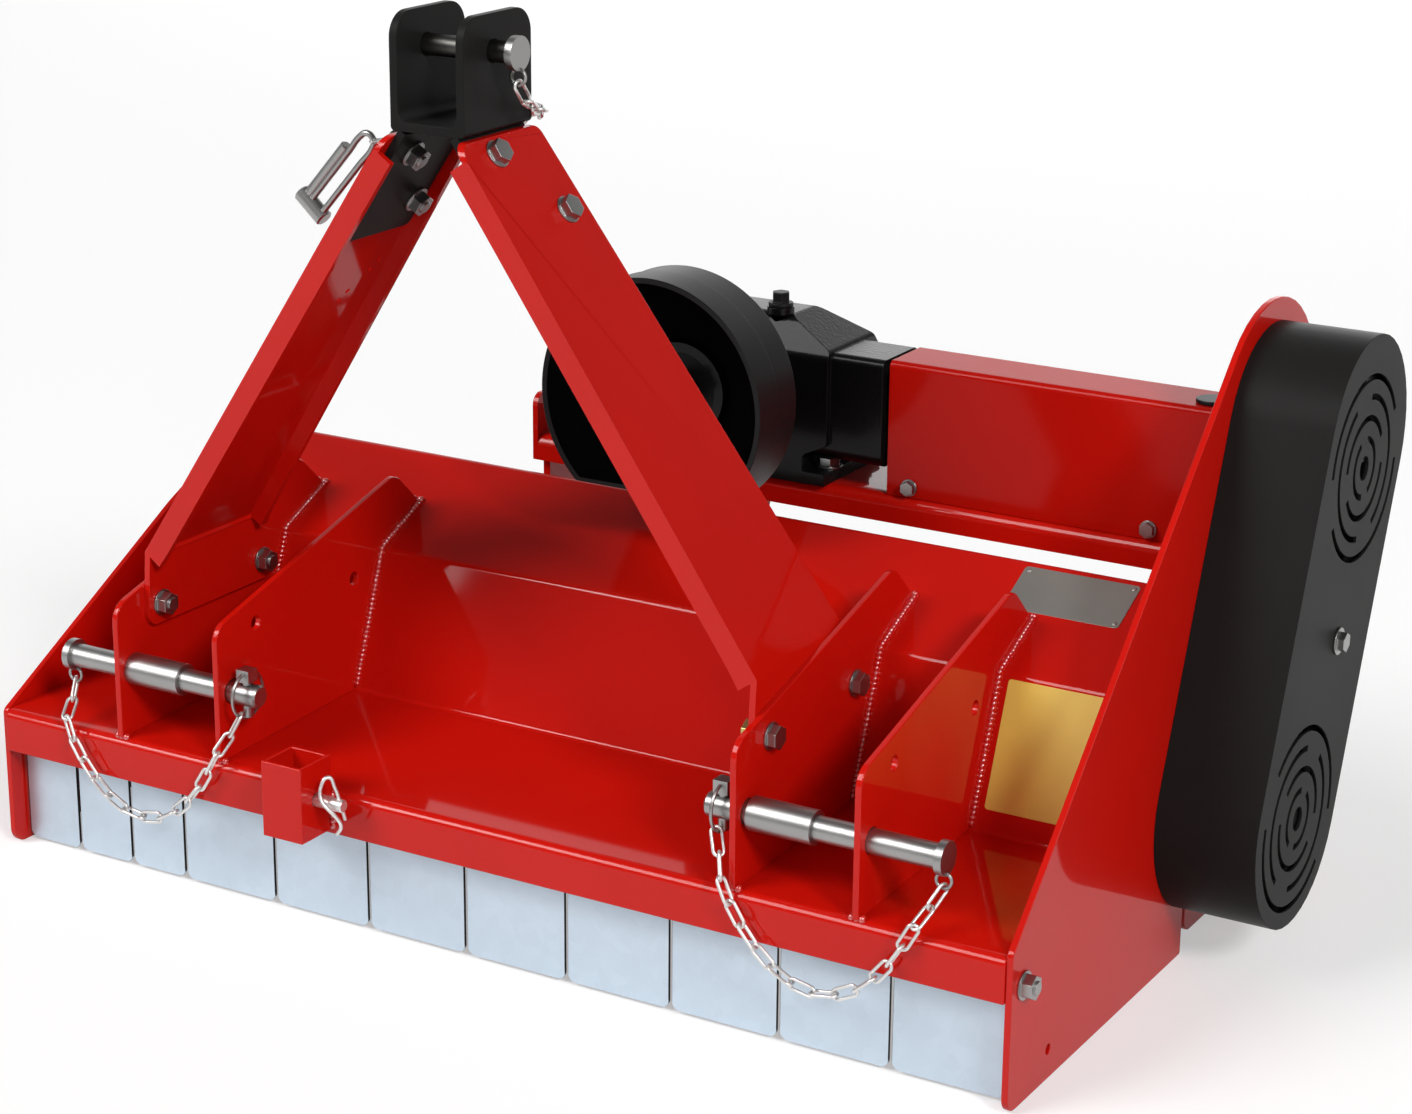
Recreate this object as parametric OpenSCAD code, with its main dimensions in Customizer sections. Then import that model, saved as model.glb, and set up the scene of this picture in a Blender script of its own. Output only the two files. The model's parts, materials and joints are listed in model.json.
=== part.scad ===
// Flail mower for a compact tractor: a folded deck over a hammer rotor, a belt drive on the right,
// a three-point hitch in front and a curtain of hanging flaps. Millimetres, +Z up, +X along the rotor
// towards the belt drive, +Y to the rear. The origin is on the ground, under the middle of the machine.

/* [Deck] */
// Width between the two side plates
deck_w = 1057; // [950:1:1300]
// Thickness of the side plates
plate_t = 6; // [4:0.5:8]
// Thickness of the folded deck sheet
sheet_t = 4; // [3:0.5:6]
// Inner radius of the deck's folds
fold_r = 5; // [2:0.5:10]
// Height of the lip's lower edge above the ground
lip_low = 99; // [95:1:106]
// Height of the front lip
lip_h = 41; // [36:1:50]
// How far the lip stands ahead of the curtain
lip_lead = 20; // [18:1:30]
// Depth of the shelf behind the lip
shelf_run = 207; // [195:1:220]
// Rise of the shelf over its depth
shelf_rise = 7; // [2:1:12]
// Depth of the steep riser
riser_run = 50; // [40:1:58]
// Height of the steep riser
riser_rise = 131; // [120:1:140]
// Depth of the upper panel
upper_run = 127; // [115:1:140]
// Rise of the upper panel
upper_rise = 61; // [50:1:70]
// Depth of the hood panel behind the crest
hood_run = 102; // [95:1:110]
// Drop of the hood panel behind the crest
hood_drop = 77; // [70:1:85]
// Depth of the hood's tail panel
tail_run = 42; // [36:1:48]
// Drop of the hood's tail panel
tail_drop = 97; // [85:1:110]

/* [Side plates] */
// How far the side plates stand ahead of the curtain
plate_lead = 17; // [14:1:25]
// Rear end of the plates' resting edges
skid_end = 345; // [320:1:360]
// Height of the notch behind the resting edges
notch_h = 62; // [50:1:75]
// How far the side plates stand above the deck's folds
plate_rise = 3; // [1:0.5:8]
// Radius of the right plate round the upper pulley axis
tower_r = 121; // [112:1:130]
// Radius of the right plate round the rotor axis
tower_low_r = 130; // [118:1:135]
// Diameter of the drain hole in the right plate
drain_d = 9; // [6:1:12]

/* [Hitch] */
// Middle of the four lugs, from the middle of the deck
hitch_mid = 2; // [-10:1:10]
// Distance between the lugs of one pair
lug_spread = 662; // [620:1:700]
// Side shift of each pair from the middle of the lugs
side_shift = 58.5; // [52:0.5:64]
// Thickness of the lugs
lug_t = 6; // [5:0.5:10]
// Height of the lugs' front edge above the shelf
lug_front_h = 129; // [115:1:140]
// Height of the lugs' top above the upper fold
lug_top_h = 68; // [55:1:80]
// Distance of the lugs' top corner behind the upper fold
lug_top_run = 25; // [15:1:35]
// Distance of the lugs' tail behind the upper fold
lug_tail_run = 64; // [50:1:80]
// Distance between a lug's two bolt holes
lug_bolt_spacing = 151; // [140:1:158]
// Place of a lug's front bolt hole behind the curtain
lug_bolt_y = 40; // [32:1:46]
// Height of a lug's bolt holes above the ground
lug_bolt_z = 259.5; // [254:0.5:266]
// Diameter of the hitch bolts
bolt_d = 12; // [10:1:14]
// Diameter of the lower hitch pins
pin_d = 22; // [20:0.5:28]
// Place of the lower hitch pins behind the curtain
pin_y = 3; // [0:1:10]
// Height of the lower hitch pins above the ground
pin_z = 204; // [198:1:212]
// Length of a lower hitch pin without its head
pin_len = 218; // [205:1:230]
// Length of the pin tips past the lugs
pin_tip = 32; // [28:1:40]
// Wall of the spacer sleeves
sleeve_wall = 4; // [2.5:0.5:5]
// Length of the spacer sleeves
sleeve_len = 61; // [45:1:75]
// Room between the right sleeve and its lug
sleeve_room = 5; // [1:0.5:10]

/* [Mast] */
// Thickness of the hitch arms' sheet
arm_t = 6; // [4:0.5:8]
// Depth of the hitch arms' flanges
arm_flange = 21; // [16:1:28]
// Front edge of an arm at its foot
arm_low_front = 26; // [15:1:35]
// Rear edge of an arm at its foot
arm_low_rear = 180; // [168:1:192]
// Front edge of an arm at its top
arm_top_front = 18; // [8:1:24]
// Rear edge of an arm at its top
arm_top_rear = 137; // [130:1:150]
// Height of the bend above an arm's foot
arm_bend_z = 312; // [302:1:325]
// Lower edge of an arm's foot
arm_foot_z = 240; // [234:1:246]
// Front edge of an arm's foot
arm_foot_front = 20; // [12:1:24]
// Rear edge of an arm's foot
arm_foot_rear = 212; // [206:1:225]
// Height of the clevis floor above the ground
clevis_z = 736; // [700:1:780]
// Height of the clevis
clevis_h = 100; // [85:1:120]
// Outer width of the clevis
clevis_w = 76; // [66:1:90]
// Depth of the clevis
clevis_depth = 102; // [90:1:115]
// Front of the clevis behind the curtain
clevis_y = 30; // [20:1:38]
// Thickness of the clevis plate
clevis_t = 8; // [6:0.5:10]
// Length of the clevis legs down the arms
leg_len = 118; // [105:1:130]
// Diameter of the top link pin
top_pin_d = 19; // [16:0.5:25]
// Height of the top link pin above the clevis floor
top_pin_h = 68; // [58:1:75]
// Place of the top link pin behind the clevis front
top_pin_run = 45; // [38:1:55]
// Length of the top link pin without its head
top_pin_len = 108; // [102:1:115]

/* [Curtain] */
// Diameter of the curtain rod
rod_d = 12; // [10:1:14]
// Height of the curtain rod above the ground
rod_z = 109; // [107:0.5:112]
// Place of the curtain rod behind the curtain's mark
rod_y = 4; // [1.5:0.5:10]
// Thickness of a flap
flap_t = 3; // [2:0.5:4]
// Height of the flaps above the ground
flap_low = 3; // [2:1:12]
// Width of a narrow flap with its gap
narrow_pitch = 65; // [55:1:75]
// Gap between neighbouring flaps
flap_gap = 3; // [2:0.5:5]

/* [Stand socket] */
// Width of the stand socket
socket_w = 44; // [38:1:55]
// Depth of the stand socket
socket_depth = 45; // [38:1:55]
// Height of the stand socket
socket_h = 72; // [62:1:85]
// Place of the stand socket, from the middle of the deck
socket_x = -161.5; // [-180:0.5:-140]
// Wall of the stand socket
socket_wall = 4; // [3:0.5:6]
// Diameter of the stand pin
stand_pin_d = 12; // [10:0.5:14]

/* [Drive] */
// Place of the rotor axis behind the curtain
rotor_y = 366; // [360:1:372]
// Height of the rotor axis above the ground
rotor_z = 145; // [142:1:150]
// Place of the upper pulley axis behind the curtain
cross_y = 484; // [480:1:488]
// Height of the upper pulley axis above the ground
cross_z = 458; // [454:1:466]
// Radius of the belt guard
guard_r = 100; // [94:1:106]
// Width of the belt guard
guard_w = 94; // [88:1:110]
// Wall of the belt guard
guard_wall = 3; // [2:0.5:4]
// Pitch radius of the upper pulley
upper_r = 78; // [70:1:82]
// Pitch radius of the lower pulley
lower_r = 54; // [48:1:62]
// Place of the input shaft, from the middle of the deck
input_x = 18.5; // [10:0.5:30]
// Front end of the input shaft behind the curtain
input_front = 280; // [272:1:290]
// Outer radius of the input shaft's splines
spline_r = 17.5; // [16:0.5:20]
// Radius of the cross shaft
cross_r = 15; // [13:0.5:17]
// Pitch radius of the crown gear
crown_r = 42; // [40:1:45]
// Teeth of the crown gear
crown_teeth = 25; // [20:1:30]
// Teeth of the bevel pinion
pinion_teeth = 10; // [10:1:12]
// Front of the beam behind the curtain
beam_y = 434; // [428:1:440]
// Depth of the beam
beam_depth = 112; // [104:1:125]
// Height of the beam's top above the ground
beam_z = 352; // [346:1:358]
// Height of the beam's flanges
beam_h = 26; // [20:1:32]
// Left end of the beam, from the middle of the deck
beam_x = -216; // [-260:1:-190]
// Radius of the input guard
cup_r = 116; // [106:1:124]
// Depth of the input guard
cup_depth = 70; // [62:1:80]
// Distance of the input guard's flat under its axis
cup_flat = 86; // [78:1:94]
// Wall of the input guard
cup_wall = 4; // [3:0.5:6]
// Left end of the shaft cover, from the middle of the deck
cover_x = 176; // [174:1:220]
// Height of the shaft cover
cover_h = 130; // [126:1:142]
// Depth of the shaft cover
cover_depth = 67; // [64:1:74]

/* [Cutting] */
// Radius of the rotor tube
tube_r = 50; // [44:1:54]
// Wall of the rotor tube
tube_wall = 6; // [4:0.5:8]
// Rise of the hammer pivots above the rotor tube
pivot_rise = 20; // [16:1:22]
// Reach of a hammer from its pivot
hammer_reach = 48; // [44:1:50]
// Width of a hammer's head
hammer_w = 60; // [48:1:66]
// Half the thickness of a hammer
hammer_half = 11; // [9:0.5:12]
// Hammers in each of the four rows
hammers_per_row = 6; // [4:1:7]
// Radius of the rotor's stub shafts
stub_r = 20; // [17.5:0.5:22]

/* [Roller] */
// Place of the roller axis behind the curtain
roller_y = 572; // [566:1:585]
// Radius of the roller
roller_r = 45; // [42:1:50]
// Radius of the roller's stub axles
axle_r = 12.5; // [10:0.5:15]
// Travel of the roller for the cutting height
roller_travel = 40; // [20:1:45]

/* [Chains] */
// Diameter of the chain wire
wire_d = 3; // [2.5:0.25:3.5]
// Inner width of a chain link
link_w = 6.5; // [6:0.25:8]
// Length that one chain link adds
link_pitch = 22; // [20:0.5:24]

/* [Hidden] */
$fn = 64;

// Finishes
red = [0.72, 0.05, 0.04];
black = [0.06, 0.06, 0.07];
zinc = [0.72, 0.73, 0.75];
galvanised = [0.70, 0.74, 0.79];
steel = [0.55, 0.56, 0.58];
rubber = [0.04, 0.04, 0.04];

// Clearances: a running fit, a drilled hole, and the least room between pieces that pass each other
run_gap = 0.1;
hole_gap = 0.4;
rest_gap = 0.3;
arc_step = 9;

// Fasteners: washer and head sizes follow the bolt's diameter
function head_across(d) = 1.6 * d;
function head_h(d) = 0.65 * d;
function washer_r(d) = 1.05 * d;
washer_t = 2;

// Plane geometry
function unit(v) = v / norm(v);
function right_of(v) = [v[1], -v[0]];
function polar(c, r, a) = c + r * [cos(a), sin(a)];
function mix(a, b, t) = a + (b - a) * t;

// Points of an arc about c from angle a to angle b
function arc(c, r, a, b) =
    let (steps = max(2, ceil(abs(b - a) / arc_step)))
    [for (k = [0:steps]) polar(c, r, mix(a, b, k / steps))];

// Arc of radius r that rounds the corner q between p and s; a fillet is limited by its edges
function rounded_corner(p, q, s, r) =
    let (
        u = unit(p - q),
        v = unit(s - q),
        half_angle = acos(max(-1, min(1, u * v))) / 2,
        reach = min(r / tan(half_angle), 0.49 * norm(p - q), 0.49 * norm(s - q)),
        radius = reach * tan(half_angle),
        centre = q + unit(u + v) * radius / sin(half_angle),
        from = q + u * reach - centre,
        start = atan2(from[1], from[0]),
        sweep = (180 - 2 * half_angle) * (cross(q - p, s - q) > 0 ? 1 : -1)
    )
    arc(centre, radius, start, start + sweep);

// Closed outline from corners [x, y, radius]
function outline(corners) =
    let (n = len(corners), at = [for (c = corners) [c[0], c[1]]])
    [for (i = [0:n - 1])
        each corners[i][2] > 0
            ? rounded_corner(at[(i + n - 1) % n], at[i], at[(i + 1) % n], corners[i][2])
            : [at[i]]];

// Path moved t to its right, with mitred corners
function path_dir(path, i) = unit(path[i + 1] - path[i]);
function moved_point(path, i, t) =
    let (
        last = len(path) - 1,
        before = right_of(path_dir(path, max(i - 1, 0))),
        after = right_of(path_dir(path, min(i, last - 1)))
    )
    path[i] + t * (before + after) / (1 + before * after);

// Closed outline of a sheet that lies to the right of a path, folded with inner radius r
function bends_right(path, i) = cross(path[i] - path[i - 1], path[i + 1] - path[i]) < 0;
function sheet_outline(path, t, r) =
    let (last = len(path) - 1)
    outline(concat(
        [for (i = [0:last])
            [path[i][0], path[i][1], i == 0 || i == last ? 0 : bends_right(path, i) ? r + t : r]],
        [for (i = [last:-1:0]) let (q = moved_point(path, i, t))
            [q[0], q[1], i == 0 || i == last ? 0 : bends_right(path, i) ? r : r + t]]));

// Outline of a band that goes round two circles of radii ra and rb
function round_pair(ca, ra, cb, rb) =
    let (
        line = cb - ca,
        lean = atan2(line[1], line[0]),
        open = acos((ra - rb) / norm(line))
    )
    concat(arc(ca, ra, lean + open, lean + 360 - open), arc(cb, rb, lean - open, lean + open));

// Deck profile in Y and Z
half = deck_w / 2;
plate_out = half + plate_t;
lip_y = -lip_lead;
lip_top = lip_low + lip_h;
lip_foot = [lip_y, lip_low];
lip_bend = [lip_y, lip_top];
fold_low = lip_bend + [shelf_run, shelf_rise];
fold_high = fold_low + [riser_run, riser_rise];
crest = fold_high + [upper_run, upper_rise];
hood_bend = crest + [hood_run, -hood_drop];
tail_end = hood_bend + [tail_run, -tail_drop];
deck_path = [lip_foot, lip_bend, fold_low, fold_high, crest, hood_bend, tail_end];
function shelf_z(y) = lip_top + shelf_rise * (y - lip_y) / shelf_run;
function upper_z(y) = fold_high[1] + upper_rise * (y - fold_high[0]) / upper_run;
function hood_z(y) = crest[1] - hood_drop * (y - crest[0]) / hood_run;

// Axes in Y and Z
rotor_at = [rotor_y, rotor_z];
cross_at = [cross_y, cross_z];
belt_line = unit(cross_at - rotor_at);
belt_rear = right_of(belt_line);
belt_run = norm(cross_at - rotor_at);
function on_belt(along, aside) = rotor_at + along * belt_line + aside * belt_rear;
rod_r = rod_d / 2;
eye_r = rod_r + run_gap + flap_t;

// Hitch places
lug_x = [
    hitch_mid - side_shift - lug_spread / 2,
    hitch_mid + side_shift - lug_spread / 2,
    hitch_mid - side_shift + lug_spread / 2,
    hitch_mid + side_shift + lug_spread / 2
];
mast_x = hitch_mid - side_shift;
lug_half = lug_t / 2;
pin_r = pin_d / 2;
pin_at = [pin_y, pin_z];
lug_bolts = [[lug_bolt_y, lug_bolt_z], [lug_bolt_y + lug_bolt_spacing, lug_bolt_z]];
sleeve_r = pin_r + run_gap + sleeve_wall;
sleeve_left_x = lug_x[0] + lug_half + rest_gap;
sleeve_right_x = lug_x[2] + lug_half + sleeve_room;
pin_left_x = lug_x[1] + lug_half + pin_tip;
pin_right_x = lug_x[2] - lug_half - pin_tip;
pin_head_r = 15;
pin_head_w = 7;

// Mast places: an arm leans from its foot on the lug to the clevis
arm_x = lug_spread / 2 - lug_half;
arm_rise = clevis_z - arm_bend_z;
arm_lean = atan((arm_x - clevis_w / 2) / arm_rise);
arm_len = arm_rise / cos(arm_lean);
arm_turn_z = arm_bend_z + 4;
arm_crown_z = clevis_z - arm_t * sin(arm_lean);
clevis_rear = clevis_y + clevis_depth;
top_pin_at = [clevis_y + top_pin_run, clevis_z + top_pin_h];
top_pin_r = top_pin_d / 2;
clevis_bolts_at = [[clevis_y + 31, arm_len - 20], [clevis_y + 84, arm_len - 84]];

// Curtain: narrow flaps on the left, wide ones over the rest
narrow_flaps = 3;
wide_flaps = 8;
wide_pitch = (deck_w - 2 * flap_gap - narrow_flaps * narrow_pitch) / wide_flaps;
function flap_x(i) =
    -half + flap_gap + min(i, narrow_flaps) * narrow_pitch + max(i - narrow_flaps, 0) * wide_pitch;
function flap_w(i) = (i < narrow_flaps ? narrow_pitch : wide_pitch) - flap_gap;

// Drive places
guard_x = plate_out;
guard_face = guard_x + guard_w;
bearing_w = 30;
pulley_w = 50;
pulley_x = guard_x + bearing_w + 4;
belt_count = 3;
belt_w = 9.4;
belt_t = 7;
belt_pitch = 15;
groove_depth = 9;
beam_rear = beam_y + beam_depth;
cover_y = beam_y + 6;
cover_t = 3;
cover_z = beam_z + cover_h;
cup_front = input_front - 15;
cup_back = cup_front + cup_depth;
neck_r = 46;
foot_t = 12;
box_left = input_x - 66;
box_right = input_x + 72;
box_front = beam_y - 6;
box_rear = beam_rear - 2;
tail_x = cover_x - 4;
case_wall = 8;
pinion_r = crown_r * pinion_teeth / crown_teeth;
tooth_room = 0.6;
guard_bolt_at = on_belt(161, 18);
guard_bolt_d = 10;
idler_r = 18;
idler_along = 215;
belt_lift = rest_gap - groove_depth + belt_t;
idler_in = lower_r + (upper_r - lower_r) * idler_along / belt_run - belt_t / 2 + belt_lift;
idler_at = on_belt(idler_along, -(idler_in - idler_r - 2 * rest_gap));
tensioner_at = on_belt(105, 0);

// Rotor places: hammer rows at the four diagonals, each hammer stored hanging or against the tube
row_angles = [45, 135, 225, 315];
rotor_end = half - 18;
pivot_r = tube_r + pivot_rise;
lean_angle = asin((tube_r + hammer_half + 0.5) / pivot_r);
hang_angles = [-(135 - lean_angle), 180 + (135 - lean_angle), 270, 270];
hammer_pitch = 2 * (rotor_end - 60) / (2 * hammers_per_row - 1);
function hammer_x(row, i) = -rotor_end + 60 + (2 * i + row % 2) * hammer_pitch;
pivot_bolt_r = 8;
lug_ear_r = 15;
ear_t = 8;
ear_gap = 22;
hammer_head = hammer_reach - lug_ear_r - 10;

// Roller places
roller_z = roller_r;
bracket_t = 6;
bracket_x = half - rest_gap - bracket_t;
roller_half = bracket_x - 5;
slot_at = [[445, 120], [445, 165]];
roller_bolt_d = 12;

// The whole machine's reach, which sets the origin
left_reach = -plate_out - bearing_w;
right_reach = guard_face + washer_t + head_h(guard_bolt_d);
front_reach = lip_y - socket_depth;
rear_reach = roller_y + roller_r;
origin = [-(left_reach + right_reach) / 2, -(front_reach + rear_reach) / 2, 0];

// Shapes along X: an outline in Y and Z, a rod, a hexagon, a bolt with its nut
module along_x(x, len) {
    translate([x, 0, 0]) rotate([90, 0, 90]) linear_extrude(len) children();
}

module rod_x(x, len, at, r) {
    translate([x, at[0], at[1]]) rotate([0, 90, 0]) cylinder(h = len, r = r);
}

module hex_x(x, len, at, across) {
    translate([x, at[0], at[1]]) rotate([0, 90, 0]) cylinder(h = len, r = across / sqrt(3), $fn = 6);
}

// Bolt along +X with its head before x and its nut after x + grip
module bolt_x(x, grip, at, d) {
    nut_h = 0.8 * d;
    rod_x(x - washer_t - head_h(d), grip + 2 * washer_t + head_h(d) + nut_h + 2, at, d / 2);
    hex_x(x - washer_t - head_h(d), head_h(d), at, head_across(d));
    rod_x(x - washer_t, washer_t, at, washer_r(d));
    rod_x(x + grip, washer_t, at, washer_r(d));
    hex_x(x + grip + washer_t, nut_h, at, head_across(d));
}

module set_down() {
    translate(origin) children();
}

// Deck
module deck_shell() {
    color(red) set_down() along_x(-half, deck_w) polygon(sheet_outline(deck_path, sheet_t, fold_r));
}

module plate_holes(x) {
    rod_x(x - 1, plate_t + 2, [rod_y, rod_z], rod_r + hole_gap);
    rod_x(x - 1, plate_t + 2, rotor_at, stub_r + 4);
    for (at = bearing_bolts(rotor_at)) rod_x(x - 1, plate_t + 2, at, bearing_bolt_d / 2 + hole_gap);
    for (at = slot_at) rod_x(x - 1, plate_t + 2, at, roller_bolt_d / 2 + hole_gap);
}

module side_plate_left() {
    x = -plate_out;
    corners = [
        [-plate_lead, 0, 15],
        [-plate_lead, lip_top - 1, 8],
        [fold_high[0], fold_high[1] + plate_rise, 0],
        [crest[0], crest[1] + plate_rise, 25],
        [hood_bend[0] + 6, hood_bend[1] + plate_rise, 25],
        [tail_end[0] + 5, tail_end[1], 30],
        [tail_end[0] - 30, notch_h, 25],
        [skid_end, notch_h, 10],
        [skid_end, 0, 3]
    ];
    color(red) set_down() difference() {
        along_x(x, plate_t) polygon(outline(corners));
        plate_holes(x);
    }
}

// Front corner of the right plate, from which its edge runs straight up to the tower's arc
tower_foot = [-plate_lead - 1, lip_top + 3];
tower_run = cross_at - tower_foot;
tower_slope = atan2(tower_run[1], tower_run[0]) + asin(tower_r / norm(tower_run));
tower_rear_angle = atan2(belt_rear[1], belt_rear[0]);
tower_low_angle = -asin((rotor_z - notch_h) / tower_low_r);

module side_plate_right() {
    x = half;
    front = outline([
        [tower_foot[0] + 40, 0, 0],
        [tower_foot[0], 0, 15],
        [tower_foot[0], tower_foot[1], 10],
        [tower_foot[0] + 100 * cos(tower_slope), tower_foot[1] + 100 * sin(tower_slope), 0]
    ]);
    top = arc(cross_at, tower_r, tower_slope + 90, tower_rear_angle);
    low = arc(rotor_at, tower_low_r, tower_rear_angle, tower_low_angle);
    notch = outline([[skid_end + 60, notch_h, 0], [skid_end, notch_h, 10], [skid_end, 0, 3], [skid_end - 60, 0, 0]]);
    color(red) set_down() difference() {
        along_x(x, plate_t) polygon(concat(front, top, low, notch));
        plate_holes(x);
        rod_x(x - 1, plate_t + 2, cross_at, cross_r + 5);
        for (at = bearing_bolts(cross_at)) rod_x(x - 1, plate_t + 2, at, bearing_bolt_d / 2 + hole_gap);
        rod_x(x - 1, plate_t + 2, guard_bolt_at, guard_bolt_d / 2 + hole_gap);
        rod_x(x - 1, plate_t + 2, tensioner_at, tensioner_pin_r);
        rod_x(x - 1, plate_t + 2, [59, 28], drain_d / 2);
    }
}

// Hitch lugs: they stand on the shelf and run up the riser and the upper panel
module hitch_lugs() {
    front = lip_y + 2;
    tail = fold_high[0] + lug_tail_run;
    corners = [
        [front, shelf_z(front), 0],
        [front, shelf_z(front) + lug_front_h, 20],
        [fold_high[0] + lug_top_run, fold_high[1] + lug_top_h, 18],
        [tail, upper_z(tail), 0],
        [fold_high[0], fold_high[1], 0],
        [fold_low[0], fold_low[1], fold_r + sheet_t]
    ];
    color(red) set_down() for (x = lug_x) difference() {
        along_x(x - lug_half, lug_t) polygon(outline(corners));
        rod_x(x - lug_t, 2 * lug_t, pin_at, pin_r + hole_gap);
        for (at = lug_bolts) rod_x(x - lug_t, 2 * lug_t, at, bolt_d / 2 + hole_gap);
    }
}

socket_z = lip_low + 5;
socket_front = lip_y - socket_depth;
stand_pin_at = [lip_y - socket_depth / 2, socket_z + 0.5 * socket_h];
stand_pin_x = socket_x - socket_w / 2 - 6;
stand_pin_len = socket_w + 36;
clip_x = stand_pin_x + stand_pin_len - 10;
clip_r = 1.75;

module stand_socket() {
    inner = socket_w - 2 * socket_wall;
    color(red) set_down() difference() {
        translate([socket_x - socket_w / 2, socket_front, socket_z]) cube([socket_w, socket_depth, socket_h]);
        translate([socket_x - inner / 2, socket_front + socket_wall, socket_z - 1])
            cube([inner, socket_depth - 2 * socket_wall, socket_h + 2]);
        rod_x(socket_x - socket_w, 2 * socket_w, stand_pin_at, stand_pin_d / 2 + hole_gap);
    }
}

// Spring clip: a straight leg through the pin, a coil above it and a second leg in front of the pin
module spring_clip() {
    bow_r = 5;
    leg_low = 14;
    leg_top = 20;
    front_leg = 2 * bow_r;
    translate([0, 0, -leg_low]) cylinder(h = leg_low + leg_top, r = clip_r);
    translate([0, -bow_r, leg_top]) rotate([90, 0, 90]) rotate_extrude() translate([bow_r, 0]) circle(clip_r);
    translate([0, -front_leg, -leg_low / 2]) cylinder(h = leg_low / 2 + leg_top, r = clip_r);
}

module stand_pin() {
    head_w = 6;
    color(zinc) set_down() {
        difference() {
            union() {
                rod_x(stand_pin_x, stand_pin_len, stand_pin_at, stand_pin_d / 2);
                rod_x(stand_pin_x, head_w, stand_pin_at, stand_pin_d / 2 + 4);
            }
            translate([clip_x, stand_pin_at[0], stand_pin_at[1] - stand_pin_d])
                cylinder(h = 2 * stand_pin_d, r = clip_r + run_gap);
        }
        translate([clip_x, stand_pin_at[0], stand_pin_at[1]]) spring_clip();
    }
}

// Beam: a channel open below, an end bracket, two gussets down to the hood and tabs for the cover
beam_wall = 6;
cover_screw_d = 8;
cover_screw_x = [cover_x + 24, half - 85];
cover_screw_z = beam_z + 10;

module gearbox_beam() {
    gusset_t = 8;
    gusset_front = beam_y + 10;
    gusset_rear = beam_rear - 10;
    gusset_foot = mix(hood_bend, tail_end, 0.5);
    tab_w = 24;
    hook_h = 42;
    color(red) set_down() {
        difference() {
            union() {
                along_x(beam_x, half - beam_x) polygon(sheet_outline(
                    [[beam_y, beam_z - beam_h], [beam_y, beam_z], [beam_rear, beam_z], [beam_rear, beam_z - beam_h]],
                    beam_wall, fold_r));
                along_x(beam_x - beam_wall, beam_wall) polygon(outline([
                    [beam_y, beam_z - beam_h, 0],
                    [beam_y, beam_z + hook_h, 12],
                    [beam_y + 60, beam_z + hook_h, 12],
                    [beam_rear, beam_z, 8],
                    [beam_rear, beam_z - beam_h, 0]
                ]));
            }
            rod_x(beam_x - 2 * beam_wall, 4 * beam_wall, [beam_y + 20, beam_z + 20], 5);
            for (x = foot_bolt_x, y = foot_bolt_y)
                translate([x, y, beam_z - 2 * beam_wall]) cylinder(h = 3 * beam_wall, r = foot_bolt_d / 2 + hole_gap);
        }
        for (x = [beam_x, input_x - 20]) along_x(x, gusset_t) polygon([
            [gusset_front, beam_z - beam_wall],
            [gusset_rear, beam_z - beam_wall],
            gusset_foot,
            hood_bend,
            [gusset_front, hood_z(gusset_front)]
        ]);
        for (x = cover_screw_x) difference() {
            translate([x - tab_w / 2, cover_y + cover_t, beam_z]) cube([tab_w, cover_t, 2 * (cover_screw_z - beam_z)]);
            screw_bore(x);
        }
    }
}

module screw_bore(x) {
    translate([x, cover_y - 1, cover_screw_z]) rotate([-90, 0, 0])
        cylinder(h = 2 * cover_t + 2, r = cover_screw_d / 2 + hole_gap);
}

// Hitch arms: one arm leans from the right foot to the clevis, the other is its mirror image
module on_arm() {
    translate([arm_x, 0, arm_bend_z]) rotate([0, -arm_lean, 0]) children();
}

// A point of the leaning arm as it stands: across the mower and up
function leaning(x, z) = [
    arm_x + x * cos(arm_lean) - z * sin(arm_lean),
    arm_bend_z + x * sin(arm_lean) + z * cos(arm_lean)
];

module arm_sides() {
    translate([mast_x, 0, 0]) children();
    translate([mast_x, 0, 0]) mirror([1, 0, 0]) children();
}

// Profile of an arm across the mower, pulled along its depth
module arm_slab(points) {
    translate([0, 320, 0]) rotate([90, 0, 0]) linear_extrude(340) polygon(points);
}

// Room between the flanges, which end below the clevis
module arm_pocket(over, inner_turn) {
    front_slope = (arm_top_front - arm_low_front) / (arm_crown_z - arm_turn_z);
    rear_slope = (arm_top_rear - arm_low_rear) / (arm_crown_z - arm_turn_z);
    beyond = 70;
    intersection() {
        arm_slab([
            inner_turn,
            leaning(-arm_t, over + 10),
            leaning(-4 * arm_flange, over + 10),
            leaning(-4 * arm_flange, -60),
            inner_turn - [20, 40]
        ]);
        union() {
            along_x(-arm_x, 3 * arm_x) polygon([
                [arm_low_front + arm_t - beyond * front_slope, arm_turn_z - beyond],
                [arm_low_rear - arm_t - beyond * rear_slope, arm_turn_z - beyond],
                [arm_top_rear - arm_t + beyond * rear_slope, arm_crown_z + beyond],
                [arm_top_front + arm_t + beyond * front_slope, arm_crown_z + beyond]
            ]);
            on_arm() translate([-200, -50, arm_len - 18]) cube([300, 400, 100]);
        }
    }
}

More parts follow.
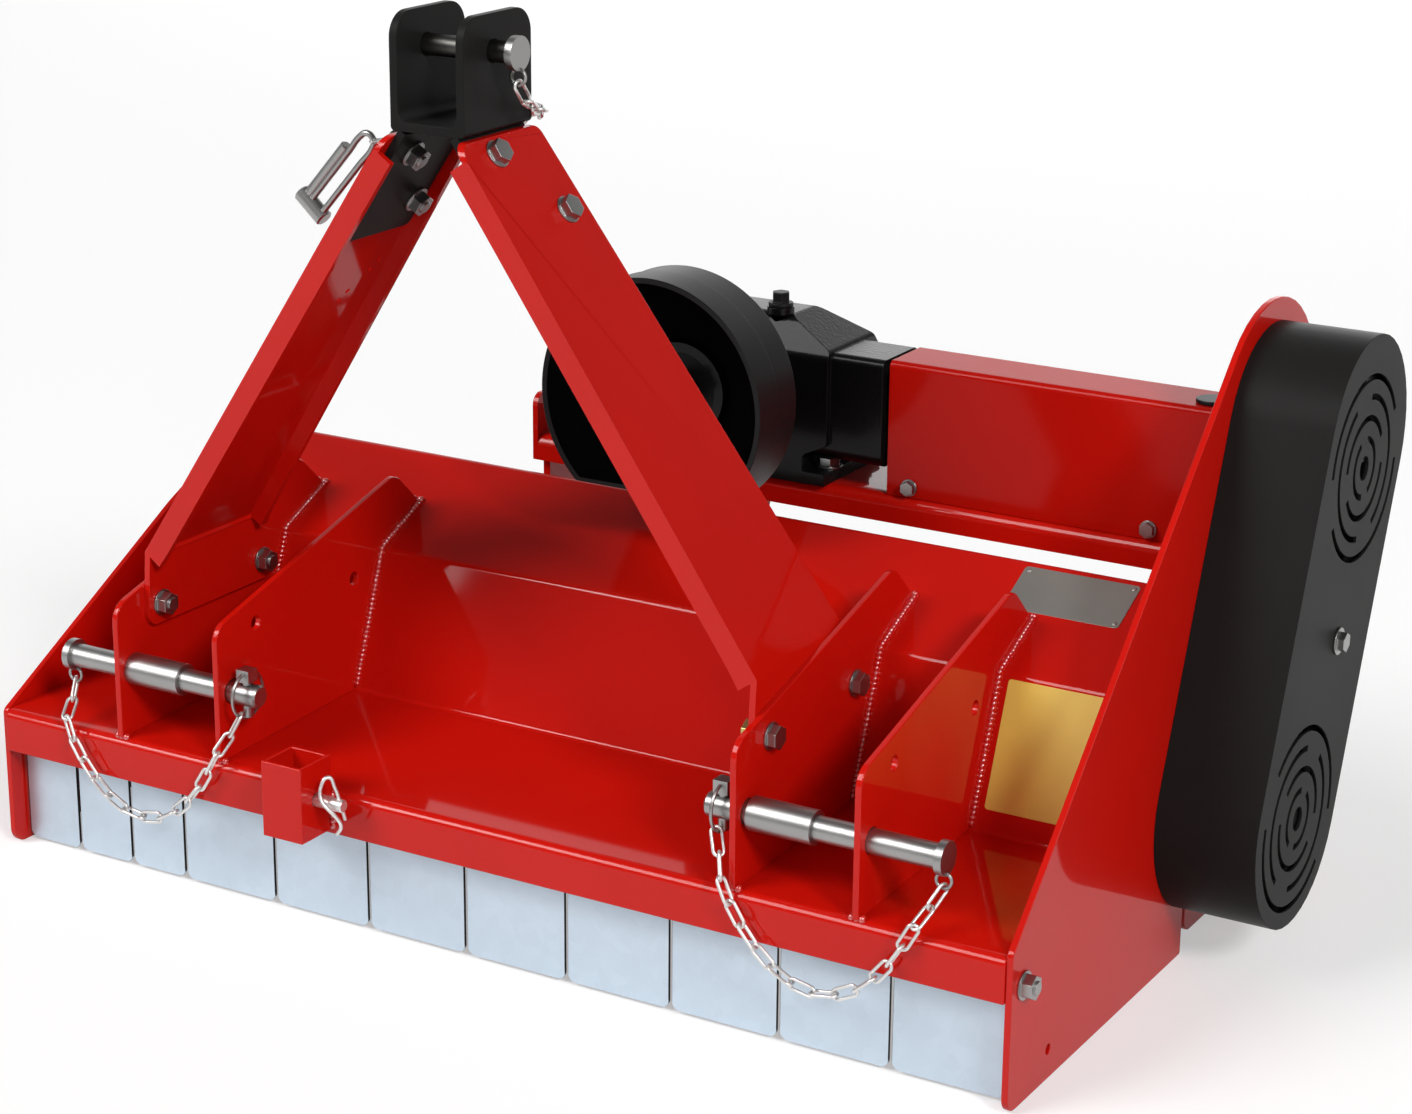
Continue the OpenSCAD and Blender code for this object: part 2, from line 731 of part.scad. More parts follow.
// Strip bent once, the foot upright and the channel leaning, cut to the arm's outline
module arm_shape() {
    over = arm_len + 40;
    inner_turn = leaning(-arm_t, arm_t * tan(arm_lean / 2));
    difference() {
        intersection() {
            arm_slab([
                [arm_x, arm_foot_z - 20],
                [arm_x, arm_bend_z],
                leaning(0, over),
                leaning(-arm_flange, over),
                leaning(-arm_flange, 0),
                [arm_x - arm_t, arm_bend_z - arm_t * tan(arm_lean)],
                [arm_x - arm_t, arm_foot_z - 20]
            ]);
            along_x(-arm_x, 3 * arm_x) polygon(outline([
                [arm_foot_front, arm_foot_z, 12],
                [arm_foot_rear, arm_foot_z, 12],
                [arm_low_rear, arm_turn_z, 0],
                [arm_top_rear, arm_crown_z, 8],
                [arm_top_front, arm_crown_z, 14],
                [arm_low_front, arm_turn_z, 0]
            ]));
        }
        arm_pocket(over, inner_turn);
    }
}

module arm_bores() {
    for (at = lug_bolts) rod_x(arm_x - 2 * arm_t, 3 * arm_t, at, bolt_d / 2 + hole_gap);
    on_arm() for (at = clevis_bolts_at) rod_x(-3 * arm_t, 6 * arm_t, at, bolt_d / 2 + hole_gap);
}

module hitch_arm_right() {
    color(red) set_down() translate([mast_x, 0, 0]) difference() {
        arm_shape();
        arm_bores();
    }
}

// The left arm also has two pairs of small holes for a hose clip
module hitch_arm_left() {
    clip_holes = [[131, arm_len - 168], [124, arm_len - 178], [107, arm_len - 200], [101, arm_len - 210]];
    clip_hole_r = 2.6;
    color(red) set_down() translate([mast_x, 0, 0]) mirror([1, 0, 0]) difference() {
        arm_shape();
        arm_bores();
        on_arm() for (at = clip_holes) rod_x(-3 * arm_t, 6 * arm_t, at, clip_hole_r);
    }
}

// Clevis: a U of plate with a leg down the inside of each arm
module top_clevis() {
    inner = clevis_w / 2 - clevis_t;
    top = clevis_z + clevis_h;
    color(black) set_down() difference() {
        union() {
            intersection() {
                translate([mast_x, clevis_rear, 0]) rotate([90, 0, 0]) linear_extrude(clevis_depth) polygon(concat(
                    outline([
                        [-clevis_w / 2, top, 0],
                        [-clevis_w / 2, clevis_z, 4],
                        [clevis_w / 2, clevis_z, 4],
                        [clevis_w / 2, top, 0],
                        [inner, top, 0],
                        [inner, clevis_z + clevis_t, 10],
                        [-inner, clevis_z + clevis_t, 10],
                        [-inner, top, 0]
                    ])));
                along_x(mast_x - clevis_w, 2 * clevis_w) polygon(outline([
                    [clevis_y, clevis_z - 1, 0],
                    [clevis_rear, clevis_z - 1, 0],
                    [clevis_rear, top, 22],
                    [clevis_y, top, 22]
                ]));
            }
            arm_sides() on_arm() translate([-arm_t - clevis_t, 0, 0]) along_x(0, clevis_t) polygon(outline([
                [clevis_y, arm_len + 6, 0],
                [clevis_y, arm_len - leg_len, 6],
                [arm_top_rear - arm_t - 2, arm_len - leg_len, 6],
                [arm_top_rear - arm_t - 2, arm_len + 6, 0]
            ]));
        }
        rod_x(mast_x - clevis_w, 2 * clevis_w, top_pin_at, top_pin_r + hole_gap);
        arm_sides() on_arm() for (at = clevis_bolts_at) rod_x(-6 * arm_t, 9 * arm_t, at, bolt_d / 2 + hole_gap);
    }
}

module arm_bolts() {
    grip = lug_t + arm_t;
    color(zinc) set_down() arm_sides() for (at = lug_bolts)
        translate([arm_x + lug_t, 0, 0]) mirror([1, 0, 0]) bolt_x(0, grip, at, bolt_d);
}

module clevis_bolts() {
    grip = arm_t + clevis_t;
    color(zinc) set_down() arm_sides() on_arm() for (at = clevis_bolts_at)
        mirror([1, 0, 0]) bolt_x(0, grip, at, bolt_d);
}

// Pins: a plain shank, a collared head and a small eye for the chain
top_pin_x = mast_x + clevis_w / 2 + 20;

module pin_shape(x, len, at, r, side) {
    tip = side > 0 ? x - len : x + len;
    bevel = 2;
    rod_x(min(x, tip) + (side > 0 ? bevel : 0), len - bevel, at, r);
    translate([tip, at[0], at[1]]) rotate([0, side > 0 ? 90 : -90, 0]) cylinder(h = bevel, r1 = r - bevel, r2 = r);
    rod_x(side > 0 ? x : x - pin_head_w, pin_head_w, at, pin_head_r);
}

// Eye on a pin's head, in which the first chain link hangs
eye_wire_r = 1.5;
eye_ring_r = 7;
lower_eye_drop = pin_head_r + eye_ring_r - 2;
top_eye_x = top_pin_x + pin_head_w - eye_wire_r - 1;
module head_eye(x, at, drop) {
    translate([x, at[0], at[1] - drop]) rotate([90, 0, 0]) rotate_extrude() translate([eye_ring_r, 0]) circle(eye_wire_r);
}

module top_link_pin() {
    color(zinc) set_down() difference() {
        union() {
            pin_shape(top_pin_x, top_pin_len, top_pin_at, top_pin_r, 1);
            head_eye(top_eye_x, top_pin_at, lower_eye_drop);
        }
        cross_bore(top_pin_x - top_pin_len + 10, top_pin_at);
    }
}

linch_r = 5;
module cross_bore(x, at) {
    translate([x, at[0], at[1] - 2 * pin_d]) cylinder(h = 4 * pin_d, r = linch_r + hole_gap);
}

linch_inset = 15;
linch_x = [pin_left_x - linch_inset, pin_right_x + linch_inset];

module lower_pin_left() {
    color(zinc) set_down() difference() {
        union() {
            pin_shape(pin_left_x - pin_len, pin_len, pin_at, pin_r, -1);
            head_eye(pin_left_x - pin_len - pin_head_w / 2, pin_at, lower_eye_drop);
        }
        cross_bore(linch_x[0], pin_at);
    }
}

module lower_pin_right() {
    color(zinc) set_down() difference() {
        union() {
            pin_shape(pin_right_x + pin_len, pin_len, pin_at, pin_r, 1);
            head_eye(pin_right_x + pin_len + pin_head_w / 2, pin_at, lower_eye_drop);
        }
        cross_bore(linch_x[1], pin_at);
    }
}

module sleeve(x) {
    color(zinc) set_down() difference() {
        rod_x(x, sleeve_len, pin_at, sleeve_r);
        rod_x(x - 1, sleeve_len + 2, pin_at, pin_r + run_gap);
    }
}

module lower_sleeve_left() sleeve(sleeve_left_x);
module lower_sleeve_right() sleeve(sleeve_right_x);

// Linchpins: a shank through the hitch pin, a block on top and a spring ring round the hitch pin
ring_r = pin_r + 11;
ring_wire_r = 1.6;
linch_head = 14;

module linchpin() {
    shank = 2 * ring_r - 2;
    translate([0, 0, -shank / 2]) cylinder(h = shank, r = linch_r);
    translate([-linch_head / 2, -linch_head / 2, shank / 2 - 8]) cube([linch_head, linch_head, 12]);
    rotate([90, 0, 90]) rotate_extrude() translate([ring_r, 0]) circle(ring_wire_r);
}

module lower_linchpins() {
    color(zinc) set_down() for (x = linch_x) translate([x, pin_at[0], pin_at[1]]) linchpin();
}

// The top linchpin hangs behind the left arm at the end of its chain
top_linch_at = [mast_x - 197, clevis_rear + 33, clevis_z - 88];
top_linch_lean = 41.7;
top_linch_dir = [sin(top_linch_lean), 0, cos(top_linch_lean)];
strap_len = 98;
strap_r = 11;
strap_rim = 4;
strap_t = 3;
top_shank = 72;
top_block_r = 12;
strap_end = top_linch_at + (strap_len - top_shank / 2) * top_linch_dir - [0, top_block_r - strap_t / 2, 0];

module top_linchpin() {
    block_h = 16;
    color(zinc) set_down() translate(top_linch_at) rotate([0, top_linch_lean, 0]) {
        translate([0, 0, -top_shank / 2]) cylinder(h = top_shank, r = linch_r + 1);
        translate([0, 0, -top_shank / 2]) cylinder(h = block_h, r = top_block_r);
        translate([0, -top_block_r + strap_t, -top_shank / 2]) rotate([90, 0, 0]) difference() {
            union() {
                translate([-strap_r, 0, 0]) cube([2 * strap_r, strap_len, strap_t]);
                translate([0, strap_len, 0]) cylinder(h = strap_t, r = strap_r);
            }
            translate([0, strap_len, -1]) cylinder(h = strap_t + 2, r = strap_r - strap_rim);
        }
    }
}

// Chains: equal steps along a curve, one link a step, each turned a quarter against the last
wire_r = wire_d / 2;
chain_slack = 0.5;
chain_seat = 0.3;
curve_steps = 160;

module link(pitch) {
    end_r = link_w / 2 + wire_r;
    straight = (pitch + chain_slack) / 2 + wire_r - end_r;
    for (side = [-1, 1]) {
        translate([-straight, side * end_r, 0]) rotate([0, 90, 0]) cylinder(h = 2 * straight, r = wire_r);
        translate([side * straight, 0, 0]) rotate([0, 0, -90 * side])
            rotate_extrude(angle = 180) translate([end_r, 0]) circle(wire_r);
    }
}

function step_lengths(points) = [for (i = [1:len(points) - 1]) norm(points[i] - points[i - 1])];
function running_total(steps) = [for (i = 0, s = 0; i <= len(steps); s = s + (i < len(steps) ? steps[i] : 0), i = i + 1) s];
function table_of(points, totals, axis) = [for (i = [0:len(points) - 1]) [totals[i], points[i][axis]]];

// A chain from the middle of one wire to the middle of another; hold is half the thickness of each
function run_on(points, back, hold) =
    let (
        last = len(points) - 1,
        reach = round(last * link_pitch / running_total(step_lengths(points))[last]),
        end = back ? points[last] : points[0],
        inner = back ? points[last - reach] : points[reach]
    )
    end + (hold + chain_seat) * unit(end - inner);

module chain(route, hold_start, hold_end) {
    points = concat([run_on(route, false, hold_start)], route, [run_on(route, true, hold_end)]);
    totals = running_total(step_lengths(points));
    tables = [for (axis = [0:2]) table_of(points, totals, axis)];
    length = totals[len(totals) - 1];
    count = 2 * round(length / link_pitch / 2);
    pitch = length / count;
    for (k = [0:count - 1]) {
        a = [for (t = tables) lookup(k * pitch, t)];
        b = [for (t = tables) lookup((k + 1) * pitch, t)];
        d = unit(b - a);
        translate((a + b) / 2) rotate([0, -asin(d[2]), atan2(d[1], d[0])]) rotate([90 * ((k + 1) % 2), 0, 0]) link(pitch);
    }
}

// Hanging curve between two points of one height; it leaves the pin and passes in front of the lip
function sinh(x) = (exp(x) - exp(-x)) / 2;
function cosh(x) = (exp(x) + exp(-x)) / 2;
chain_room = wire_d + link_w / 2 + 2.5;
chain_curve = 61;
function hang(x, span) = chain_curve * (cosh((x - span / 2) / chain_curve) - cosh(span / 2 / chain_curve));
function chain_point(from, to, t) =
    let (
        span = abs(to[0] - from[0]),
        base = mix(from, to, t),
        z = base[2] + hang(t * span, span),
        out = max(0, min(1, (z - lip_top - 4) / (base[2] - lip_top - 4)))
    )
    [base[0], mix(lip_y - chain_room, base[1], out * out * (3 - 2 * out)), z];

// A lower chain runs from the eye on a pin's head to the front of its linchpin's ring
ring_hold = 235;
ring_at = polar(pin_at, ring_r, ring_hold);
module hung_chain(x_head, x_ring) {
    from = [x_head, pin_y, pin_z - lower_eye_drop - eye_ring_r];
    to = [x_ring, ring_at[0], ring_at[1]];
    chain([for (i = [0:curve_steps]) chain_point(from, to, i / curve_steps)], eye_wire_r, ring_wire_r);
}

module lower_chains() {
    color(zinc) set_down() {
        hung_chain(pin_left_x - pin_len - pin_head_w / 2, linch_x[0]);
        hung_chain(pin_right_x + pin_len + pin_head_w / 2, linch_x[1]);
    }
}

// Route of the top chain: down from the pin's head, over the arms' tops behind the clevis, to the linchpin
top_approach = [mast_x - 60, clevis_rear + 30, clevis_z - 22];
top_route = [
    [top_eye_x, top_pin_at[0], top_pin_at[1] - lower_eye_drop - eye_ring_r],
    [top_pin_x + 4, top_pin_at[0] + 17, clevis_z + 22],
    [mast_x + 28, clevis_rear + 24, clevis_z + 2],
    top_approach,
    strap_end + (strap_r - strap_rim / 2) * unit(top_approach - strap_end)
];
function curve_at(points, t) =
    let (
        spans = len(points) - 1,
        i = min(floor(t * spans), spans - 1),
        u = t * spans - i,
        a = points[max(i - 1, 0)],
        b = points[i],
        c = points[i + 1],
        d = points[min(i + 2, spans)]
    )
    0.5 * (2 * b + (c - a) * u + (2 * a - 5 * b + 4 * c - d) * u * u + (3 * b - a - 3 * c + d) * u * u * u);

module top_chain() {
    color(zinc) set_down() chain([for (i = [0:curve_steps]) curve_at(top_route, i / curve_steps)], eye_wire_r, strap_rim / 2);
}

// Curtain: a rod through both side plates and flaps rolled round it
module flap_rod() {
    at = [rod_y, rod_z];
    color(zinc) set_down() bolt_x(-plate_out, 2 * plate_out, at, rod_d);
}

module flap(i) {
    eye = [rod_y, rod_z];
    w = flap_w(i);
    corner_r = 8;
    color(galvanised) set_down() translate([flap_x(i), 0, 0]) difference() {
        union() {
            translate([0, rod_y + flap_t / 2, 0]) rotate([90, 0, 0]) linear_extrude(flap_t) polygon(outline([
                [0, flap_low, corner_r],
                [w, flap_low, corner_r],
                [w, rod_z, 0],
                [0, rod_z, 0]
            ]));
            rod_x(0, w, eye, eye_r);
        }
        rod_x(-1, w + 2, eye, rod_r + run_gap);
    }
}

module flap_01() flap(0);
module flap_02() flap(1);
module flap_03() flap(2);
module flap_04() flap(3);
module flap_05() flap(4);
module flap_06() flap(5);
module flap_07() flap(6);
module flap_08() flap(7);
module flap_09() flap(8);
module flap_10() flap(9);
module flap_11() flap(10);

// Gearbox: a cast case with a neck to the front, a tail to the right and a foot on the beam
case_top = cross_z + crown_r + case_wall + 2;
tail_top = cover_z;
foot_bolt_d = 12;
foot_bolt_x = [box_left - 14, box_right + 14];
foot_bolt_y = [box_front + 30, box_rear - 24];
filler_at = [input_x + 32, cross_y - 30];
filler_r = 9;

module rod_y(y, len, at, r) {
    translate([at[0], y, at[1]]) rotate([-90, 0, 0]) cylinder(h = len, r = r);
}

// Body of the case, wall t inside its outer face: a side outline met by a front outline
module case_body(t) {
    floor_z = t > 0 ? beam_z + foot_t : beam_z + foot_t - 1;
    intersection() {
        along_x(box_left + t, box_right - box_left + 26 - 2 * t) polygon(outline([
            [box_front + t, floor_z, 0],
            [box_front + t, cross_z + 20, 14],
            [box_front + 22 + t / 2, case_top - t, 14],
            [box_rear - 46 - t / 2, case_top - t, 14],
            [box_rear - t, cross_z, 20],
            [box_rear - t, floor_z, 0]
        ]));
        translate([0, box_rear - t, 0]) rotate([90, 0, 0]) linear_extrude(box_rear - box_front - 2 * t) polygon(outline([
            [box_left + t, floor_z, 0],
            [box_left + t, cross_z + 6, 14],
            [input_x - 30, case_top - t, 14],
            [filler_at[0] + 14 - t / 2, case_top - t, 10],
            [box_right + 26 - 3 * t, tail_top + 2 - t, 6],
            [box_right + 26 - 3 * t, beam_z + 40, 6],
            [box_right - t, beam_z + 28, 6],
            [box_right - t, floor_z, 0]
        ]));
    }
}

module gearbox_housing() {
    at = [input_x, cross_z];
    tail_half = 50;
    neck_front = cup_back - cup_wall - 10;
    color(black) set_down() difference() {
        union() {
            translate([box_left - 24, box_front, beam_z]) cube([box_right - box_left + 48, box_rear - box_front, foot_t]);
            case_body(0);
            along_x(box_right - 1, tail_x - box_right + 1) polygon(outline([
                [cross_y - tail_half, beam_z + 25, 12],
                [cross_y - tail_half, tail_top, 8],
                [cross_y + 16, tail_top, 8],
                [cross_y + tail_half, tail_top - 22, 12],
                [cross_y + tail_half, beam_z + 25, 12]
            ]));
            rod_y(neck_front, box_front - neck_front + 1, at, neck_r);
            rod_y(cup_back, 12, at, neck_r + 14);
            translate([filler_at[0], filler_at[1], case_top - 1]) cylinder(h = 7, r = filler_r + 4);
        }
        case_body(case_wall);
        rod_y(neck_front - 1, box_front + case_wall - neck_front + 2, at, input_seat_r);
        rod_x(box_right - case_wall - 1, tail_x - box_right + case_wall + 2, cross_at, cross_seat_r);
        translate([filler_at[0], filler_at[1], case_top - 2 * case_wall]) cylinder(h = 4 * case_wall, r = filler_r);
        for (x = foot_bolt_x, y = foot_bolt_y)
            translate([x, y, beam_z - 1]) cylinder(h = foot_t + 2, r = foot_bolt_d / 2 + hole_gap);
    }
}

// Upright bolt with its head above z and its nut below z - grip
module bolt_down(x, y, z, grip, d) {
    translate([x, y, z]) rotate([0, 90, 0]) bolt_x(0, grip, [0, 0], d);
}

module gearbox_fasteners() {
    color(zinc) set_down() for (x = foot_bolt_x, y = foot_bolt_y)
        bolt_down(x, y, beam_z + foot_t, foot_t + beam_wall, foot_bolt_d);
}

// The filler plug on the gearbox and the push-in plug on the shaft cover
module plugs() {
    plug_h = 14;
    color(black) set_down() {
        translate([filler_at[0], filler_at[1], case_top + 6]) {
            translate([0, 0, -8]) cylinder(h = 9, r = filler_r);
            cylinder(h = 4, r = filler_r + 3);
            cylinder(h = plug_h, r = filler_r, $fn = 6);
        }
        translate([cover_plug_at[0], cover_plug_at[1], cover_z - cover_t - 3]) {
            cylinder(h = cover_t + 5, r = cover_plug_r);
            translate([0, 0, cover_t + 3]) cylinder(h = 4, r = cover_plug_r + 5);
        }
    }
}

// Input shaft: six splines in front, a plain journal, and the crown gear at its inner end
input_journal_r = 20;
input_seat_r = 36;
cross_seat_r = 19.5;
gear_face = 16;
gear_back = 8;
crown_back = cross_y - pinion_r - tooth_room - gear_back;

function spline_outline(r, root, count) = [
    for (i = [0:count - 1])
        each [for (s = [[-0.27, root], [-0.22, r], [0.22, r], [0.27, root]])
            s[1] * [cos(360 / count * (i + s[0])), sin(360 / count * (i + s[0]))]]
];

module input_shaft() {
    journal_front = cup_back - cup_wall - 14;
    color(steel) set_down() translate([input_x, 0, cross_z]) {
        translate([0, journal_front + 1, 0]) rotate([90, 0, 0])
            linear_extrude(journal_front + 1 - input_front) polygon(spline_outline(spline_r, spline_r - 3, 6));
        rod_y(journal_front, crown_back - journal_front, [0, 0], input_journal_r);
    }
}

// Bevel gears: cones about the point where the two shafts' axes meet, held just clear of each other
module bevel(pitch_r, depth, teeth, face) {
    back = depth + tooth_room;
    small = 1 - face / norm([pitch_r, depth]);
    rim = pitch_r - tooth_room;
    difference() {
        union() {
            translate([0, 0, -back]) cylinder(h = depth * (1 - small), r1 = rim, r2 = rim * small);
            translate([0, 0, -back - gear_back]) cylinder(h = gear_back, r = rim);
        }
        for (i = [0:teeth - 1]) rotate([0, 0, 360 / teeth * i]) translate([rim, 0, -back])
            rotate([0, atan2(pitch_r, depth) - 90, 0]) cube([2.2 * face, PI * pitch_r / teeth, 5], center = true);
    }
}

module crown_gear() {
    color(steel) set_down() translate([input_x, cross_y, cross_z]) rotate([-90, 0, 0])
        bevel(crown_r, pinion_r, crown_teeth, gear_face);
}

module bevel_pinion() {
    color(steel) set_down() translate([input_x, cross_y, cross_z]) rotate([0, -90, 0])
        bevel(pinion_r, crown_r, pinion_teeth, gear_face);
}

module cross_shaft() {
    x = input_x + crown_r + tooth_room + gear_back;
    color(steel) set_down() rod_x(x, pulley_x + pulley_w + 6 - x, cross_at, cross_r);
}

// Bearings: rings in the case and a flanged housing on the right plate for the cross shaft
bearing_bolt_d = 10;
bearing_flange_r = 52;
function bearing_bolts(at) = [for (a = [45:90:315]) polar(at, bearing_flange_r - 11, a)];

module flange_bearing(x, at, side, r, w) {
    flange_t = 12;
    translate([x, 0, 0]) mirror([side > 0 ? 0 : 1, 0, 0]) difference() {
        union() {
            rod_x(0, flange_t, at, bearing_flange_r);
            rod_x(0, w, at, r + 18);
        }
        rod_x(-1, w + 2, at, r + run_gap / 2);
        for (b = bearing_bolts(at)) rod_x(-1, flange_t + 2, b, bearing_bolt_d / 2 + hole_gap);
    }
}

module ring_y(y, w, outer, inner) {
    translate([input_x, 0, cross_z]) difference() {
        rod_y(y, w, [0, 0], outer);
        rod_y(y - 1, w + 2, [0, 0], inner);
    }
}

module ring_x(x, w, outer, inner) {
    difference() {
        rod_x(x, w, cross_at, outer);
        rod_x(x - 1, w + 2, cross_at, inner);
    }
}

module drive_bearings() {
    w = 18;
    front = cup_back + 2;
    color(steel) set_down() {
        ring_y(cup_back - cup_wall - 8, 8, input_seat_r, input_journal_r + run_gap / 2);
        ring_y(front, w, input_seat_r, input_journal_r + run_gap / 2);
        ring_y(box_front - w, w, input_seat_r, input_journal_r + run_gap / 2);
        ring_x(box_right + 4, w, cross_seat_r, cross_r + run_gap / 2);
        ring_x(tail_x - w, w, cross_seat_r, cross_r + run_gap / 2);
        flange_bearing(guard_x, cross_at, 1, cross_r, bearing_w);
    }
}

// Input guard: a cup with a flat underside, open to the front
module cup_section(r, flat) {
    intersection() {
        circle(r);
        translate([-2 * r, -flat]) square([4 * r, 4 * r]);
    }
}

module input_guard() {
    seam = 1.5;
    color(black) set_down() translate([input_x, cup_back, cross_z]) rotate([90, 0, 0]) difference() {
        union() {
            linear_extrude(cup_depth) cup_section(cup_r, cup_flat);
            translate([0, 0, cup_depth / 2]) linear_extrude(cup_depth / 2) cup_section(cup_r + seam, cup_flat);
        }
        translate([0, 0, cup_wall]) linear_extrude(cup_depth) cup_section(cup_r - cup_wall, cup_flat - cup_wall);
        translate([0, 0, -1]) cylinder(h = cup_wall + 2, r = neck_r + rest_gap);
    }
}

module shaft_cover() {
    color(red) set_down() difference() {
        along_x(cover_x, half - cover_x) polygon(sheet_outline(
            [[cover_y, beam_z], [cover_y, cover_z], [cover_y + cover_depth, cover_z], [cover_y + cover_depth, beam_z]],
            cover_t, 3));
        for (x = cover_screw_x) screw_bore(x);
        translate([cover_plug_at[0], cover_plug_at[1], cover_z - 10]) cylinder(h = 20, r = cover_plug_r);
    }
}

cover_plug_at = [half - 40, cover_y + 24];
cover_plug_r = 10;

// Cover screws, and the long bolt in its spacer that holds the belt guard
module cover_fasteners() {
    d = guard_bolt_d;
    color(zinc) set_down() {
        for (x = cover_screw_x) translate([x, cover_y, cover_screw_z]) rotate([0, 0, 90])
            bolt_x(0, 2 * cover_t, [0, 0], cover_screw_d);
        rod_x(half, guard_face - half, guard_bolt_at, d / 2);
        rod_x(guard_x, guard_w - guard_wall - 2, guard_bolt_at, 0.8 * d);
        rod_x(guard_face, washer_t, guard_bolt_at, washer_r(d) + 2);
        hex_x(guard_face + washer_t, head_h(d), guard_bolt_at, head_across(d));
    }
}

// Pulleys with V grooves, and the belts that run in them
module pulley(x, at, r, bore) {
    outer = r + belt_t / 2;
    groove_low = 5.2;
    groove_top = 6.6;
    translate([x, at[0], at[1]]) rotate([0, 90, 0]) rotate_extrude() polygon(concat(
        [[bore, 0], [outer, 0]],
        [for (i = [0:belt_count - 1])
            let (m = pulley_w / 2 + (i - (belt_count - 1) / 2) * belt_pitch)
            each [[outer, m - groove_top], [outer - groove_depth, m - groove_low],
                [outer - groove_depth, m + groove_low], [outer, m + groove_top]]],
        [[outer, pulley_w], [bore, pulley_w]]));
}

module upper_pulley() {
    color(black) set_down() pulley(pulley_x, cross_at, upper_r, cross_r);
}

module lower_pulley() {
    color(black) set_down() pulley(pulley_x, rotor_at, lower_r, stub_r);
}

module drive_belts() {
    color(rubber) set_down() for (i = [0:belt_count - 1])
        along_x(pulley_x + pulley_w / 2 + (i - (belt_count - 1) / 2) * belt_pitch - belt_w / 2, belt_w) difference() {
            polygon(round_pair(rotor_at, lower_r + belt_t / 2 + belt_lift, cross_at, upper_r + belt_t / 2 + belt_lift));
            polygon(round_pair(rotor_at, lower_r - belt_t / 2 + belt_lift, cross_at, upper_r - belt_t / 2 + belt_lift));
        }
}

// Belt tensioner: an arm on a pin in the right plate, with an idler inside the front run of the belts
tensioner_pin_r = 8;
tensioner_t = 8;
tensioner_x = guard_x + 12;
idler_pin_r = 7;

module tensioner_arm() {
    color(steel) set_down() {
        along_x(tensioner_x, tensioner_t) polygon(round_pair(tensioner_at, 14, idler_at, 12));
        rod_x(half, tensioner_x - half + 1, tensioner_at, tensioner_pin_r - run_gap / 2);
        rod_x(tensioner_x, pulley_x + pulley_w - tensioner_x, idler_at, idler_pin_r);
    }
}

module idler_pulley() {
    color(steel) set_down() difference() {
        rod_x(pulley_x, pulley_w - 2, idler_at, idler_r);
        rod_x(pulley_x - 1, pulley_w, idler_at, idler_pin_r + run_gap / 2);
    }
}

// Belt guard: a long round-ended cover with rings of slots over both pulleys
vent_slot = 5.5;
vent_rings = [26, 45, 64, 82];
vent_gap = 34;

module ring_slot(c, r, a, b) {
    polygon(concat(arc(c, r + vent_slot / 2, a, b), arc(c, r - vent_slot / 2, b, a)));
}

module vents(c, turn) {
    for (k = [0:len(vent_rings) - 1], s = [0, 180])
        ring_slot(c, vent_rings[k], turn + s + (k % 2) * 90 + vent_gap / 2, turn + s + (k % 2) * 90 + 180 - vent_gap / 2);
}

module belt_guard() {
    hub_hole_r = 11;
    upper_vent = on_belt(belt_run - 20, 0);
    color(black) set_down() difference() {
        along_x(guard_x, guard_w) polygon(round_pair(rotor_at, guard_r, cross_at, guard_r));
        along_x(guard_x - 1, guard_w - guard_wall + 1)
            polygon(round_pair(rotor_at, guard_r - guard_wall, cross_at, guard_r - guard_wall));
        along_x(guard_face - 2 * guard_wall, 4 * guard_wall) {
            vents(rotor_at, 60);
            vents(upper_vent, 100);
        }
        rod_x(guard_face - 2 * guard_wall, 4 * guard_wall, rotor_at, hub_hole_r);
        rod_x(guard_face - 2 * guard_wall, 4 * guard_wall, upper_vent, hub_hole_r);
        rod_x(guard_face - 2 * guard_wall, 4 * guard_wall, guard_bolt_at, guard_bolt_d / 2 + hole_gap);
    }
}

// Rotor: a tube with end discs and stub shafts, and a pair of ears for each hammer
module ears() {
    for (row = [0:3], i = [0:hammers_per_row - 1], side = [-1, 1])
        rotate([row_angles[row], 0, 0])
            translate([hammer_x(row, i) + side * (ear_gap + ear_t) / 2 - ear_t / 2, 0, 0])
                along_x(0, ear_t) difference() {
                    union() {
                        translate([tube_r - 3, -lug_ear_r]) square([pivot_r - tube_r + 3, 2 * lug_ear_r]);
                        translate([pivot_r, 0]) circle(lug_ear_r);
                    }
                    translate([pivot_r, 0]) circle(pivot_bolt_r);
                }
}

module rotor() {
    disc_t = 10;
    right_end = pulley_x + pulley_w + 6;
    left_end = plate_out + bearing_w;
    color(red) set_down() translate([0, rotor_y, rotor_z]) {
        difference() {
            rod_x(-rotor_end, 2 * rotor_end, [0, 0], tube_r);
            rod_x(-rotor_end + disc_t, 2 * (rotor_end - disc_t), [0, 0], tube_r - tube_wall);
        }
        rod_x(-left_end, left_end - rotor_end + 1, [0, 0], stub_r);
        rod_x(rotor_end - 1, right_end - rotor_end + 1, [0, 0], stub_r);
        ears();
    }
}

module hammer_bolts() {
    grip = ear_gap + 2 * ear_t;
    color(zinc) set_down() translate([0, rotor_y, rotor_z]) for (row = [0:3], i = [0:hammers_per_row - 1])
        rotate([row_angles[row], 0, 0]) {
            rod_x(hammer_x(row, i) - grip / 2 - 6, grip + 12, [pivot_r, 0], pivot_bolt_r);
            for (side = [-1, 1])
                hex_x(hammer_x(row, i) + side * (grip / 2 + 3) - 3, 6, [pivot_r, 0], head_across(2 * pivot_bolt_r) - 2);
        }
}

